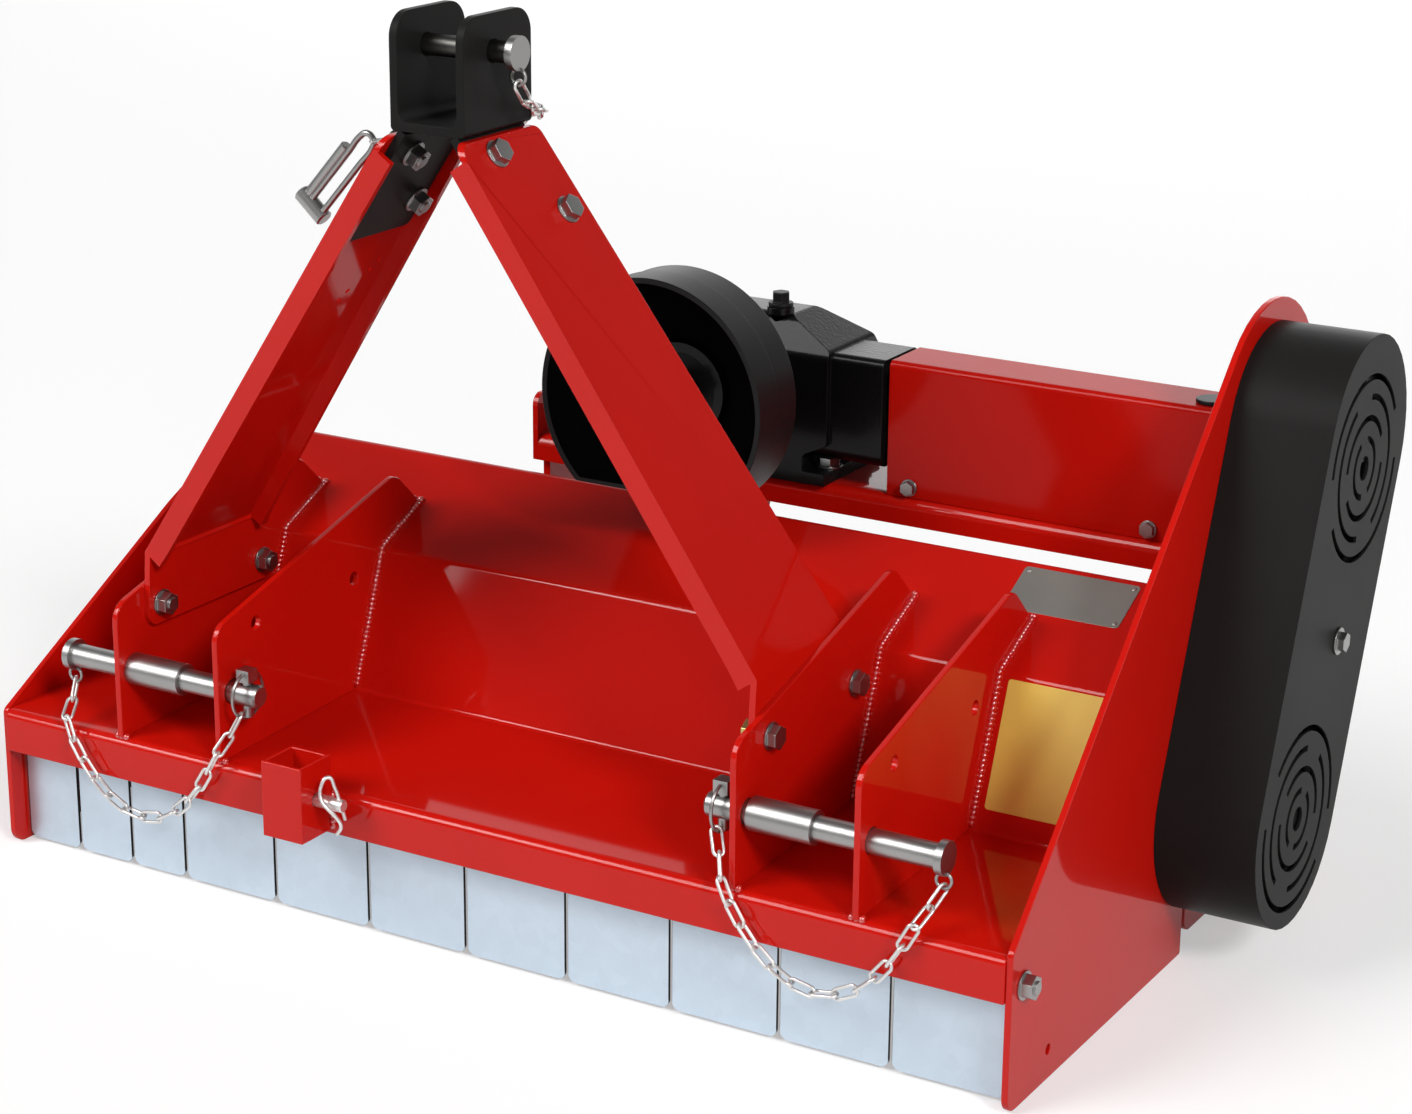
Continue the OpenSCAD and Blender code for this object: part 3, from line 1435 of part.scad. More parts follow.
// Hammers of one row, at the angle at which they hang
module hammers(row) {
    neck = ear_gap - 2;
    at = polar([0, 0], pivot_r, row_angles[row]);
    color(steel) set_down() translate([0, rotor_y + at[0], rotor_z + at[1]]) rotate([hang_angles[row], 0, 0])
        for (i = [0:hammers_per_row - 1]) translate([hammer_x(row, i), 0, 0]) difference() {
            union() {
                rod_x(-neck / 2, neck, [0, 0], hammer_half);
                translate([-neck / 2, 0, -hammer_half]) cube([neck, hammer_reach - 10, 2 * hammer_half]);
                translate([-hammer_w / 2, hammer_reach - hammer_head, -hammer_half])
                    cube([hammer_w, hammer_head, 2 * hammer_half]);
            }
            rod_x(-neck, 2 * neck, [0, 0], pivot_bolt_r + run_gap / 2);
        }
}

module hammers_row_1() hammers(0);
module hammers_row_2() hammers(1);
module hammers_row_3() hammers(2);
module hammers_row_4() hammers(3);

module rotor_bearings() {
    color(steel) set_down() {
        flange_bearing(-plate_out, rotor_at, -1, stub_r, bearing_w);
        flange_bearing(plate_out, rotor_at, 1, stub_r, bearing_w);
    }
}

// Rear roller on stub axles, carried by brackets that slide in slots for the cutting height
module roller() {
    axle_len = 34;
    color(black) set_down() difference() {
        rod_x(-roller_half, 2 * roller_half, [roller_y, roller_z], roller_r);
        rod_x(-roller_half + axle_len, 2 * (roller_half - axle_len), [roller_y, roller_z], roller_r - 5);
        for (x = [-roller_half - 1, roller_half - axle_len])
            rod_x(x, axle_len + 1, [roller_y, roller_z], axle_r + run_gap / 2);
    }
}

module roller_bracket() {
    axle_len = 30;
    slot_r = roller_bolt_d / 2 + hole_gap;
    corners = [
        [367, 9, 14],
        [roller_y - 10, 9, 20],
        [roller_y + 28, roller_z - 10, 18],
        [roller_y + 24, roller_z + 30, 20],
        [slot_at[0][0] + 40, 100, 20],
        [slot_at[0][0] + 26, slot_at[1][1] + roller_travel + 22, 14],
        [slot_at[0][0] - 24, slot_at[1][1] + roller_travel + 22, 14],
        [slot_at[0][0] - 24, 84, 16],
        [367, 56, 12]
    ];
    difference() {
        along_x(bracket_x, bracket_t) polygon(outline(corners));
        for (at = slot_at) {
            rod_x(bracket_x - 1, bracket_t + 2, at, slot_r);
            rod_x(bracket_x - 1, bracket_t + 2, at + [0, roller_travel], slot_r);
            translate([bracket_x - 1, at[0] - slot_r, at[1]]) cube([bracket_t + 2, 2 * slot_r, roller_travel]);
        }
    }
    rod_x(bracket_x - axle_len, axle_len + 1, [roller_y, roller_z], axle_r);
}

module roller_brackets() {
    color(red) set_down() {
        roller_bracket();
        mirror([1, 0, 0]) roller_bracket();
    }
}

module roller_bolts() {
    grip = plate_t + bracket_t;
    color(zinc) set_down() for (side = [0, 1], at = slot_at)
        mirror([side, 0, 0]) mirror([1, 0, 0]) bolt_x(-plate_out, grip + 2 * rest_gap, at, roller_bolt_d);
}

deck_shell();
side_plate_left();
side_plate_right();
hitch_lugs();
stand_socket();
stand_pin();
gearbox_beam();
hitch_arm_left();
hitch_arm_right();
top_clevis();
arm_bolts();
clevis_bolts();
top_link_pin();
top_linchpin();
top_chain();
lower_pin_left();
lower_pin_right();
lower_sleeve_left();
lower_sleeve_right();
lower_linchpins();
lower_chains();
flap_rod();
flap_01();
flap_02();
flap_03();
flap_04();
flap_05();
flap_06();
flap_07();
flap_08();
flap_09();
flap_10();
flap_11();
gearbox_housing();
gearbox_fasteners();
input_shaft();
crown_gear();
bevel_pinion();
cross_shaft();
drive_bearings();
input_guard();
shaft_cover();
cover_fasteners();
plugs();
upper_pulley();
lower_pulley();
drive_belts();
tensioner_arm();
idler_pulley();
belt_guard();
rotor();
hammer_bolts();
hammers_row_1();
hammers_row_2();
hammers_row_3();
hammers_row_4();
rotor_bearings();
roller();
roller_brackets();
roller_bolts();
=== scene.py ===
"""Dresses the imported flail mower: paint, plating, castings, weld beads and fittings, on a pale floor."""

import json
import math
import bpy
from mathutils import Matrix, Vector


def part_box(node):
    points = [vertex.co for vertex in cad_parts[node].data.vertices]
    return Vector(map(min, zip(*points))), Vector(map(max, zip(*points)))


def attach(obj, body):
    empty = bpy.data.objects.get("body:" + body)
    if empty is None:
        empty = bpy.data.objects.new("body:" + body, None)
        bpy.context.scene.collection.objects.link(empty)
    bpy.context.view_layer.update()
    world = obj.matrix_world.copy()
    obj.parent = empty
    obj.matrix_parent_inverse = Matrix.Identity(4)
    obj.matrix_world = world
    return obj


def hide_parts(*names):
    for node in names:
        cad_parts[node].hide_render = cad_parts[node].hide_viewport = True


bl_info = {
    "name": "Flail mower finish",
    "version": (1, 0, 0),
    "blender": (4, 5, 0),
    "location": "View3D > Sidebar > Flail mower",
    "description": "Finishes the pieces of a three-point flail mower and sets up a studio for it",
    "category": "Object",
}

import bmesh
import bpy
from bpy.props import FloatProperty, FloatVectorProperty, PointerProperty
from bpy.types import Operator, Panel, PropertyGroup
from mathutils import Matrix, Vector

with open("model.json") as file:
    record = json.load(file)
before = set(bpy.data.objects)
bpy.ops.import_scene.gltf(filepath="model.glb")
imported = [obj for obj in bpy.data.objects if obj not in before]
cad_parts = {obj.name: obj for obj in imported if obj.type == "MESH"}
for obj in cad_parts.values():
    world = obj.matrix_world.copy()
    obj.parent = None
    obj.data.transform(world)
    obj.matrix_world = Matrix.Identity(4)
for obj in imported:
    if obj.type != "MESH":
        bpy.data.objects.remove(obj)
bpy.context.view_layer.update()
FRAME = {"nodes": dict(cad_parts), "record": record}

# Drawing millimetres to frame metres: the drawing's zero is the curtain's mark at the middle of the deck
MID_X = 36.25
MID_Y = 276.0

# Places and sizes on the drawing, in millimetres; the folds are (y, z) from the lip's foot to the tail
DECK_FOLDS = ((-20, 99), (-20, 140), (187, 147), (237, 278), (364, 339), (466, 262), (508, 165))
LUG_X = (-387.5, -270.5, 274.5, 391.5)
LUG_HALF = 3.0
LUG_TAIL_Y = 301
SOCKET_X = -161.5
SOCKET_HALF = 22
SOCKET_WELD_Z = (108, 138)
BEAD_OFF = 1.2
TACK_HALF = 5
TACK_AT = (-14, 140.6)
LINCH_AT = (-253.5, 165.0, 648.0)
STAND_PIN = (-189.5, -109.5, -42.5, 140.0)
NUT_AT = (259.0, 40.0, 259.5)
TOP_PIN_HEAD_X = 1.3

# Plate and film: from and to across the deck, and up the flat that carries them, in millimetres
PLATE_X = (362, 474)
PLATE_UP = (77, 133)
PLATE_CORNER = 4
RIVET_INSET = 5
FILM_X = (405, 510)
FILM_UP = (21, 136)
FILM_CORNER = 3
PLATE_LIFT = 0.05

# Sizes in metres, and the lean of the hanging linchpin
CUP_R = 0.116
CUP_WALL = 0.003
CUP_RIM = 0.004
CUT_EDGE_AND_GAP_SHADE = 0.0004
NUT_REACH = 0.0125
LINCH_LEAN = math.radians(41.7)

# Rounding: the shares of the wanted width that are tried in turn, the folded-over area that is let through
# in square metres, and the widths of folds and of some pieces against a cut sheet edge
ROUNDING_SHARES = (1.0, 0.6, 0.35, 0.2)
SPOILED_LIMIT = 4e-6
FLAT_ANGLE = math.radians(0.4)
ARM_FOLD = 3.4
FLAP_EDGE = 0.0005
CASTING_EDGE = 0.0025
SHAFT_EDGE = 0.0004
PLATE_EDGE = 0.0002

# The shaft cover's red against the other red: darker, as painted shade on the cover
COVER_PAINTED_SHADE = 0.84


def place(x, y, z):
    """A drawing point in millimetres as a frame point in metres."""
    return Vector(((x - MID_X) / 1000, (y - MID_Y) / 1000, z / 1000))


CUP_AXIS = place(18.5, 300, 458)


class MowerFinish(PropertyGroup):
    """Colours and edge sizes of the finishes."""

    red: FloatVectorProperty(name="Red paint", description="Colour of the painted sheet metal",
                             subtype="COLOR", size=3, min=0, max=1, default=(0.54, 0.0060, 0.0022))
    black: FloatVectorProperty(name="Black paint", description="Colour of the belt guard and the clevis",
                               subtype="COLOR", size=3, min=0, max=1, default=(0.0140, 0.0133, 0.0130))
    casting: FloatVectorProperty(name="Casting", description="Colour of the gearbox casting",
                                 subtype="COLOR", size=3, min=0, max=1, default=(0.0032, 0.0032, 0.0035))
    cup: FloatVectorProperty(name="Cup", description="Colour of the input guard",
                             subtype="COLOR", size=3, min=0, max=1, default=(0.0075, 0.0075, 0.0080))
    zinc: FloatVectorProperty(name="Zinc", description="Colour of the plated pins and bolts",
                              subtype="COLOR", size=3, min=0, max=1, default=(0.36, 0.357, 0.352))
    galvanised: FloatVectorProperty(name="Galvanised", description="Colour of the curtain flaps",
                                    subtype="COLOR", size=3, min=0, max=1, default=(0.56, 0.65, 0.74))
    steel: FloatVectorProperty(name="Bare steel", description="Colour of shafts, bearings and hammers",
                               subtype="COLOR", size=3, min=0, max=1, default=(0.30, 0.30, 0.31))
    rubber: FloatVectorProperty(name="Rubber", description="Colour of the belts",
                                subtype="COLOR", size=3, min=0, max=1, default=(0.012, 0.012, 0.012))
    film: FloatVectorProperty(name="Yellow film", description="Colour of the blank film on the riser",
                              subtype="COLOR", size=3, min=0, max=1, default=(0.78, 0.58, 0.105))
    sheet_edge: FloatProperty(name="Sheet edge", description="Rounding of cut sheet edges", unit="LENGTH",
                              min=0.0002, max=0.003, default=0.0011)
    small_edge: FloatProperty(name="Hardware edge", description="Rounding of bolts and pins", unit="LENGTH",
                              min=0.0001, max=0.002, default=0.0005)


class MowerFittings(PropertyGroup):
    """Sizes of the beads, plates and rivets."""

    bead: FloatProperty(name="Weld bead", description="Radius of a weld bead", unit="LENGTH",
                        min=0.001, max=0.006, default=0.0040)
    ripple: FloatProperty(name="Weld ripple", description="Distance from ripple to ripple", unit="LENGTH",
                          min=0.001, max=0.01, default=0.0046)
    rivet: FloatProperty(name="Rivet", description="Radius of a rivet's head", unit="LENGTH",
                         min=0.001, max=0.006, default=0.0026)
    film_t: FloatProperty(name="Film", description="Thickness of plates and films", unit="LENGTH",
                          min=0.0002, max=0.002, default=0.0006)


class MowerStudio(PropertyGroup):
    """Camera, floor and lights."""

    eye: FloatVectorProperty(name="Camera place", description="Where the camera stands", subtype="XYZ",
                             size=3, default=(1.45835, -2.4160, 1.2332))
    azimuth: FloatProperty(name="Azimuth", description="Turn of the view to the left", subtype="ANGLE",
                           default=math.radians(30.4485))
    elevation: FloatProperty(name="Elevation", description="Tilt of the view downwards", subtype="ANGLE",
                             default=math.radians(18.1061))
    roll: FloatProperty(name="Roll", description="Roll of the camera", subtype="ANGLE",
                        default=math.radians(0.4831))
    lens: FloatProperty(name="Lens", description="Focal length on a 36 mm sensor", min=10, max=300,
                        default=81.24)
    floor: FloatProperty(name="Floor", description="Brightness of the pale floor", min=0, max=1, default=0.62)
    floor_lift: FloatProperty(name="Floor lift", description="White added to the floor in the picture",
                              min=0, max=1, default=0.42)
    sky: FloatProperty(name="Sky", description="Strength of the even light", min=0, max=3, default=0.13)
    sun: FloatProperty(name="Daylight", description="Strength of the wide light from the left", min=0, max=10,
                       default=1.62)
    side_sun: FloatProperty(name="Side light", description="Strength of the wide light from the right", min=0,
                            max=10, default=1.5)


# Small helpers


def finish():
    return bpy.context.scene.mower_finish


def fittings():
    return bpy.context.scene.mower_fittings


def link(obj):
    bpy.context.scene.collection.objects.link(obj)
    return obj


def mesh_object(name, mesh):
    return link(bpy.data.objects.new(name, mesh))


def mesh_from(name, bm):
    mesh = bpy.data.meshes.new(name)
    bm.to_mesh(mesh)
    bm.free()
    return mesh


def shade(mesh, angle=40):
    mesh.polygons.foreach_set("use_smooth", [True] * len(mesh.polygons))
    mesh.set_sharp_from_angle(angle=math.radians(angle))
    mesh.update()


def flattened(obj):
    """Keeps broad faces flat in the shading, so that only the rounded edges curve."""
    shade(obj.data)
    weigh = obj.modifiers.new("normals", "WEIGHTED_NORMAL")
    weigh.mode = "FACE_AREA"
    weigh.weight = 50
    weigh.keep_sharp = True
    return baked(obj)


def baked(obj):
    """Applies an object's modifiers and leaves a plain mesh on it."""
    graph = bpy.context.evaluated_depsgraph_get()
    graph.update()
    mesh = bpy.data.meshes.new_from_object(obj.evaluated_get(graph), depsgraph=graph)
    old = obj.data
    obj.modifiers.clear()
    if obj.type == "MESH":
        obj.data = mesh
        if old.users == 0:
            bpy.data.meshes.remove(old)
        return obj
    name = obj.name
    bpy.data.objects.remove(obj)
    return mesh_object(name, mesh)


def body_of_node(node):
    for body, nodes in FRAME["record"]["behaviour"]["bodies"].items():
        if node in nodes:
            return body
    raise ValueError("no body holds " + node)


def set_material(obj, material):
    obj.data.materials.clear()
    obj.data.materials.append(material)


def spoiled_area(mesh):
    """Area of the faces that a rounding folded over themselves, in square metres."""
    mesh.calc_loop_triangles()
    covered = [0.0] * len(mesh.polygons)
    for tri in mesh.loop_triangles:
        covered[tri.polygon_index] += tri.area
    normals = mesh.corner_normals
    total = 0.0
    for face in mesh.polygons:
        turned = any(normals[i].vector.dot(face.normal) < 0 for i in face.loop_indices)
        if turned or covered[face.index] > 1.02 * face.area + 1e-9:
            total += covered[face.index]
    return total


def eased(obj, width, angle=35):
    """Rounds an object's sharp edges and leaves a plain mesh on it."""
    bevel = obj.modifiers.new("edges", "BEVEL")
    bevel.width = width
    bevel.segments = 3
    bevel.limit_method = "ANGLE"
    bevel.angle_limit = math.radians(angle)
    bevel.use_clamp_overlap = False
    bevel.miter_outer = "MITER_ARC"
    return baked(obj)


def round_folds(bm, radius, shortest=0.2):
    """Rounds the long outer folds of a bent sheet."""
    folds = [e for e in bm.edges if e.is_manifold and e.calc_length() > shortest
             and math.radians(60) < e.calc_face_angle() < math.radians(120) and e.is_convex
             and min(f.calc_area() / e.calc_length() for f in e.link_faces) > 3 * radius]
    bmesh.ops.bevel(bm, geom=folds, offset=radius, segments=4, profile=0.5, affect="EDGES",
                    clamp_overlap=True)


def merge_flat(bm, limit):
    """Joins the triangles of each flat into faces; round a hole the shortest cuts stay."""
    flat = [e for e in bm.edges if e.is_manifold and e.calc_face_angle() < limit]
    flat.sort(key=lambda e: -e.calc_length())
    for edge in flat:
        if not edge.is_valid or len(edge.link_faces) != 2:
            continue
        one, other = edge.link_faces
        shared = [e for e in one.edges if other in e.link_faces]
        ends = {v for e in shared for v in e.verts}
        if one != other and len(ends) == len(shared) + 1:
            bmesh.utils.face_join((one, other))
    bmesh.ops.dissolve_limit(bm, angle_limit=limit, verts=bm.verts, edges=[])


def node_mesh(node, fold=0.0, merge=True):
    """A node's triangles joined up at their corners, and into flat faces where these are to be rounded."""
    bm = bmesh.new()
    bm.from_mesh(FRAME["nodes"][node].data)
    bmesh.ops.remove_doubles(bm, verts=bm.verts, dist=2e-6)
    if merge:
        merge_flat(bm, FLAT_ANGLE)
    if fold > 0:
        round_folds(bm, fold)
    return mesh_from(node + "_finish", bm)


def node_copy(node, material, width=0.0, angle=35, fold=0.0):
    """A joined-up, smooth copy of a node, with its sharp edges rounded, which takes the node's place.

    Where the rounding folds faces over, a smaller one is tried, and the smallest stays if none is clean.
    """
    obj = mesh_object(node + "_finish", node_mesh(node, fold, merge=width > 0))
    if width > 0:
        plain = obj.data.copy()
        for share in ROUNDING_SHARES:
            obj.data = plain.copy()
            obj = flattened(eased(obj, share * width, angle))
            if spoiled_area(obj.data) < SPOILED_LIMIT:
                break
        bpy.data.meshes.remove(plain)
    else:
        shade(obj.data)
    return stand_for(node, obj, material)


def stand_for(node, obj, material):
    """Puts a piece in a node's place, on the node's body."""
    set_material(obj, material)
    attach(obj, body_of_node(node))
    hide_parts(node)
    return obj


def repaint(obj, material, chosen):
    """Gives a second finish to the faces for which chosen(centre) is true."""
    obj.data.materials.append(material)
    last = len(obj.data.materials) - 1
    for face in obj.data.polygons:
        if chosen(face.center):
            face.material_index = last


def rod(bm, start, end, radius, chamfer=0.0008, sides=28):
    """Adds a round bar with chamfered ends between two points."""
    axis = end - start
    turn = Vector((0, 0, 1)).rotation_difference(axis).to_matrix()
    angles = [2 * math.pi * k / sides for k in range(sides)]
    rings = []
    for up, r in ((0, radius - chamfer), (chamfer, radius), (axis.length - chamfer, radius),
                  (axis.length, radius - chamfer)):
        rings.append([bm.verts.new(start + turn @ Vector((r * math.cos(a), r * math.sin(a), up)))
                      for a in angles])
    for low, high in zip(rings, rings[1:]):
        for k in range(sides):
            bm.faces.new((low[k], low[(k + 1) % sides], high[(k + 1) % sides], high[k]))
    bm.faces.new(rings[0][::-1])
    bm.faces.new(rings[-1])


def wire(name, points, radius):
    """A bent round wire through the points, as a mesh."""
    curve = bpy.data.curves.new(name, "CURVE")
    curve.dimensions = "3D"
    curve.bevel_depth = radius
    curve.bevel_resolution = 3
    curve.resolution_u = 8
    curve.use_fill_caps = True
    spline = curve.splines.new("BEZIER")
    spline.bezier_points.add(len(points) - 1)
    for knot, point in zip(spline.bezier_points, points):
        knot.co = point
        knot.handle_left_type = "AUTO"
        knot.handle_right_type = "AUTO"
    return baked(link(bpy.data.objects.new(name, curve)))


def joined(name, bm, others):
    """One object from a bmesh and the meshes of other objects, which it takes up."""
    for obj in others:
        bm.from_mesh(obj.data)
        bpy.data.objects.remove(obj)
    obj = mesh_object(name, mesh_from(name, bm))
    shade(obj.data)
    return obj


def add_piece(obj, material, body="deck"):
    set_material(obj, material)
    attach(obj, body)
    return obj


# Node helpers


class Tree:
    """Adds and joins nodes in one node tree."""

    def __init__(self, tree):
        self.tree = tree

    def add(self, kind, **values):
        node = self.tree.nodes.new(kind)
        for key, value in values.items():
            setattr(node, key, value)
        return node

    def join(self, out, into):
        self.tree.links.new(out, into)


def group_socket(tree, name, inout, kind, default=None):
    s = tree.interface.new_socket(name=name, in_out=inout, socket_type=kind)
    if default is not None:
        s.default_value = default


def uneven_group():
    """Shader group: slow colour drift, roughness drift and a fine height for a bump."""
    name = "Mower uneven surface"
    tree = bpy.data.node_groups.get(name)
    if tree:
        return tree
    tree = bpy.data.node_groups.new(name, "ShaderNodeTree")
    t = Tree(tree)
    group_socket(tree, "Color", "INPUT", "NodeSocketColor", (0.5, 0.5, 0.5, 1))
    group_socket(tree, "Drift", "INPUT", "NodeSocketFloat", 0.06)
    group_socket(tree, "Roughness", "INPUT", "NodeSocketFloat", 0.3)
    group_socket(tree, "Roughness drift", "INPUT", "NodeSocketFloat", 0.05)
    group_socket(tree, "Grain scale", "INPUT", "NodeSocketFloat", 300.0)
    group_socket(tree, "Color", "OUTPUT", "NodeSocketColor")
    group_socket(tree, "Roughness", "OUTPUT", "NodeSocketFloat")
    group_socket(tree, "Height", "OUTPUT", "NodeSocketFloat")
    source = t.add("NodeGroupInput")
    sink = t.add("NodeGroupOutput")
    where = t.add("ShaderNodeTexCoord")
    slow = t.add("ShaderNodeTexNoise")
    slow.inputs["Scale"].default_value = 9.0
    slow.inputs["Detail"].default_value = 4.0
    fine = t.add("ShaderNodeTexNoise")
    fine.inputs["Detail"].default_value = 2.0
    t.join(where.outputs["Object"], slow.inputs["Vector"])
    t.join(where.outputs["Object"], fine.inputs["Vector"])
    t.join(source.outputs["Grain scale"], fine.inputs["Scale"])
    # Colour: brighter or darker by the drift
    centre = t.add("ShaderNodeMath", operation="SUBTRACT")
    centre.inputs[1].default_value = 0.5
    t.join(slow.outputs["Fac"], centre.inputs[0])
    swing = t.add("ShaderNodeMath", operation="MULTIPLY")
    t.join(centre.outputs[0], swing.inputs[0])
    t.join(source.outputs["Drift"], swing.inputs[1])
    level = t.add("ShaderNodeMath", operation="MULTIPLY_ADD")
    level.inputs[1].default_value = 4.0
    level.inputs[2].default_value = 1.0
    t.join(swing.outputs[0], level.inputs[0])
    tint = t.add("ShaderNodeVectorMath", operation="SCALE")
    t.join(source.outputs["Color"], tint.inputs[0])
    t.join(level.outputs[0], tint.inputs["Scale"])
    t.join(tint.outputs[0], sink.inputs["Color"])
    # Roughness: drifts with the same slow noise
    rough = t.add("ShaderNodeMath", operation="MULTIPLY_ADD")
    t.join(centre.outputs[0], rough.inputs[0])
    t.join(source.outputs["Roughness drift"], rough.inputs[1])
    t.join(source.outputs["Roughness"], rough.inputs[2])
    t.join(rough.outputs[0], sink.inputs["Roughness"])
    t.join(fine.outputs["Fac"], sink.inputs["Height"])
    return tree


def surface(name, color, roughness, metallic=0.0, coat=0.0, coat_roughness=0.1, drift=0.06, rough_drift=0.12,
            grain=300.0, bump=0.05, depth=0.001, specular=0.5, coat_ior=1.5):
    """A Principled material on the shared uneven group."""
    material = bpy.data.materials.get(name)
    if material:
        return material
    material = bpy.data.materials.new(name)
    material.use_nodes = True
    t = Tree(material.node_tree)
    material.node_tree.nodes.clear()
    out = t.add("ShaderNodeOutputMaterial")
    shader = t.add("ShaderNodeBsdfPrincipled")
    t.join(shader.outputs["BSDF"], out.inputs["Surface"])
    uneven = t.add("ShaderNodeGroup", node_tree=uneven_group())
    uneven.inputs["Color"].default_value = (*color, 1)
    uneven.inputs["Drift"].default_value = drift
    uneven.inputs["Roughness"].default_value = roughness
    uneven.inputs["Roughness drift"].default_value = rough_drift
    uneven.inputs["Grain scale"].default_value = grain
    t.join(uneven.outputs["Color"], shader.inputs["Base Color"])
    t.join(uneven.outputs["Roughness"], shader.inputs["Roughness"])
    ridge = t.add("ShaderNodeBump")
    ridge.inputs["Strength"].default_value = bump
    ridge.inputs["Distance"].default_value = depth
    t.join(uneven.outputs["Height"], ridge.inputs["Height"])
    t.join(ridge.outputs["Normal"], shader.inputs["Normal"])
    shader.inputs["Metallic"].default_value = metallic
    shader.inputs["Coat Weight"].default_value = coat
    shader.inputs["Coat Roughness"].default_value = coat_roughness
    shader.inputs["Coat IOR"].default_value = coat_ior
    shader.inputs["Specular IOR Level"].default_value = specular
    return material


def red_paint():
    return surface("Mower red paint", finish().red, 0.45, coat=0.55, coat_roughness=0.05, drift=0.04,
                   rough_drift=0.10, grain=230.0, bump=0.22, depth=0.0006, specular=0.02)


def shaded_cover_paint():
    """A deeper red with less gloss, on the shaft cover; the deeper red is painted shade."""
    red = [COVER_PAINTED_SHADE * c for c in finish().red]
    return surface("Mower cover paint painted shade", red, 0.45, coat=0.22, coat_roughness=0.12, drift=0.04,
                   rough_drift=0.10, grain=230.0, bump=0.22, depth=0.0006, specular=0.02)


def weld_paint():
    """The same red where it pooled, thick and glossy, on the weld beads."""
    return surface("Mower weld paint", finish().red, 0.40, coat=1.0, coat_roughness=0.14, drift=0.04,
                   rough_drift=0.10, grain=300.0, bump=0.10, depth=0.0006, specular=0.02, coat_ior=2.3)


def black_paint():
    return surface("Mower black paint", finish().black, 0.42, drift=0.10, grain=520.0, bump=0.12,
                   depth=0.0005, specular=0.06)


def black_casting():
    return surface("Mower black casting", finish().casting, 0.34, coat=0.2, coat_roughness=0.16,
                   grain=260.0, bump=0.35, depth=0.0012, specular=0.08)


def black_plastic():
    return surface("Mower black plastic", finish().cup, 0.42, grain=700.0, bump=0.10, depth=0.0004,
                   specular=0.18)


# Near-black dull plastic: painted shade for the hollow of the input guard
def hollow_shade_plastic():
    return surface("Mower hollow painted shade", (0.0012, 0.0012, 0.0013), 0.8, grain=700.0, bump=0.10,
                   depth=0.0004, specular=0.04)


def zinc_plate():
    return surface("Mower zinc plate", finish().zinc, 0.36, metallic=1.0, drift=0.07, rough_drift=0.25,
                   grain=420.0, bump=0.10, depth=0.0005)


def bright_zinc():
    """Fresh plating, on the chains and the stand pin."""
    return surface("Mower bright zinc", (0.74, 0.735, 0.72), 0.38, metallic=0.9, drift=0.05,
                   rough_drift=0.20, grain=420.0, bump=0.08, depth=0.0005)


def yellow_zinc():
    return surface("Mower yellow zinc", (0.60, 0.50, 0.20), 0.35, metallic=1.0, drift=0.08, grain=420.0,
                   bump=0.10, depth=0.0005)


def worn_pin():
    return surface("Mower worn pin", (0.10, 0.098, 0.090), 0.36, metallic=1.0, drift=0.10,
                   rough_drift=0.25, grain=300.0, bump=0.12, depth=0.0005)


def bare_steel():
    return surface("Mower bare steel", finish().steel, 0.42, metallic=1.0, drift=0.08, grain=380.0,
                   bump=0.12, depth=0.0005)


# Near-black steel: painted shade for the input shaft and drive bearings in the hollow of the input guard, and
# for the gaps between the flaps
def painted_shade_steel():
    return surface("Mower painted shade steel", (0.006, 0.006, 0.006), 0.35, specular=0.10, drift=0.08,
                   grain=380.0, bump=0.12, depth=0.0005)


def belt_rubber():
    return surface("Mower belt rubber", finish().rubber, 0.75, grain=600.0, bump=0.2, depth=0.0005)


def plate_metal():
    return surface("Mower plate metal", (0.36, 0.37, 0.34), 0.42, metallic=0.7, drift=0.10,
                   rough_drift=0.2, grain=900.0, bump=0.05, depth=0.0003)


def yellow_film():
    return surface("Mower yellow film", finish().film, 0.38, drift=0.05, grain=500.0, bump=0.04,
                   depth=0.0003)


def galvanised_sheet():
    """Pale zinc sheet with a faint spangle of crystals."""
    name = "Mower galvanised sheet"
    material = bpy.data.materials.get(name)
    if material:
        return material
    material = surface(name, finish().galvanised, 0.40, metallic=0.55, drift=0.05, rough_drift=0.10,
                       grain=240.0, bump=0.05, depth=0.0006)
    t = Tree(material.node_tree)
    shader = next(n for n in material.node_tree.nodes if n.type == "BSDF_PRINCIPLED")
    uneven = next(n for n in material.node_tree.nodes if n.type == "GROUP")
    where = t.add("ShaderNodeTexCoord")
    cells = t.add("ShaderNodeTexVoronoi", feature="F1")
    cells.inputs["Scale"].default_value = 85.0
    t.join(where.outputs["Object"], cells.inputs["Vector"])
    grey = t.add("ShaderNodeSeparateColor")
    t.join(cells.outputs["Color"], grey.inputs["Color"])
    span = t.add("ShaderNodeMapRange")
    span.inputs["To Min"].default_value = 0.975
    span.inputs["To Max"].default_value = 1.02
    t.join(grey.outputs["Red"], span.inputs["Value"])
    tint = t.add("ShaderNodeVectorMath", operation="SCALE")
    t.join(uneven.outputs["Color"], tint.inputs[0])
    t.join(span.outputs["Result"], tint.inputs["Scale"])
    t.join(tint.outputs[0], shader.inputs["Base Color"])
    return material


# Pieces


class MOWER_OT_sheet_metal(Operator):
    """Rounds the cut edges of the painted sheet metal and paints it red."""

    bl_idname = "mower.sheet_metal"
    bl_label = "Painted sheet metal"

    def execute(self, context):
        paint = red_paint()
        edge = finish().sheet_edge
        for node in ("deck_shell", "side_plate_left", "side_plate_right", "hitch_lugs", "gearbox_beam",
                     "roller_brackets"):
            node_copy(node, paint, edge)
        for node in ("hitch_arm_left", "hitch_arm_right"):
            node_copy(node, paint, edge, fold=ARM_FOLD * edge)
        node_copy("stand_socket", paint, edge)
        # The shaft cover's darker red is painted shade
        node_copy("shaft_cover", shaded_cover_paint(), 0.8 * edge)
        return {"FINISHED"}


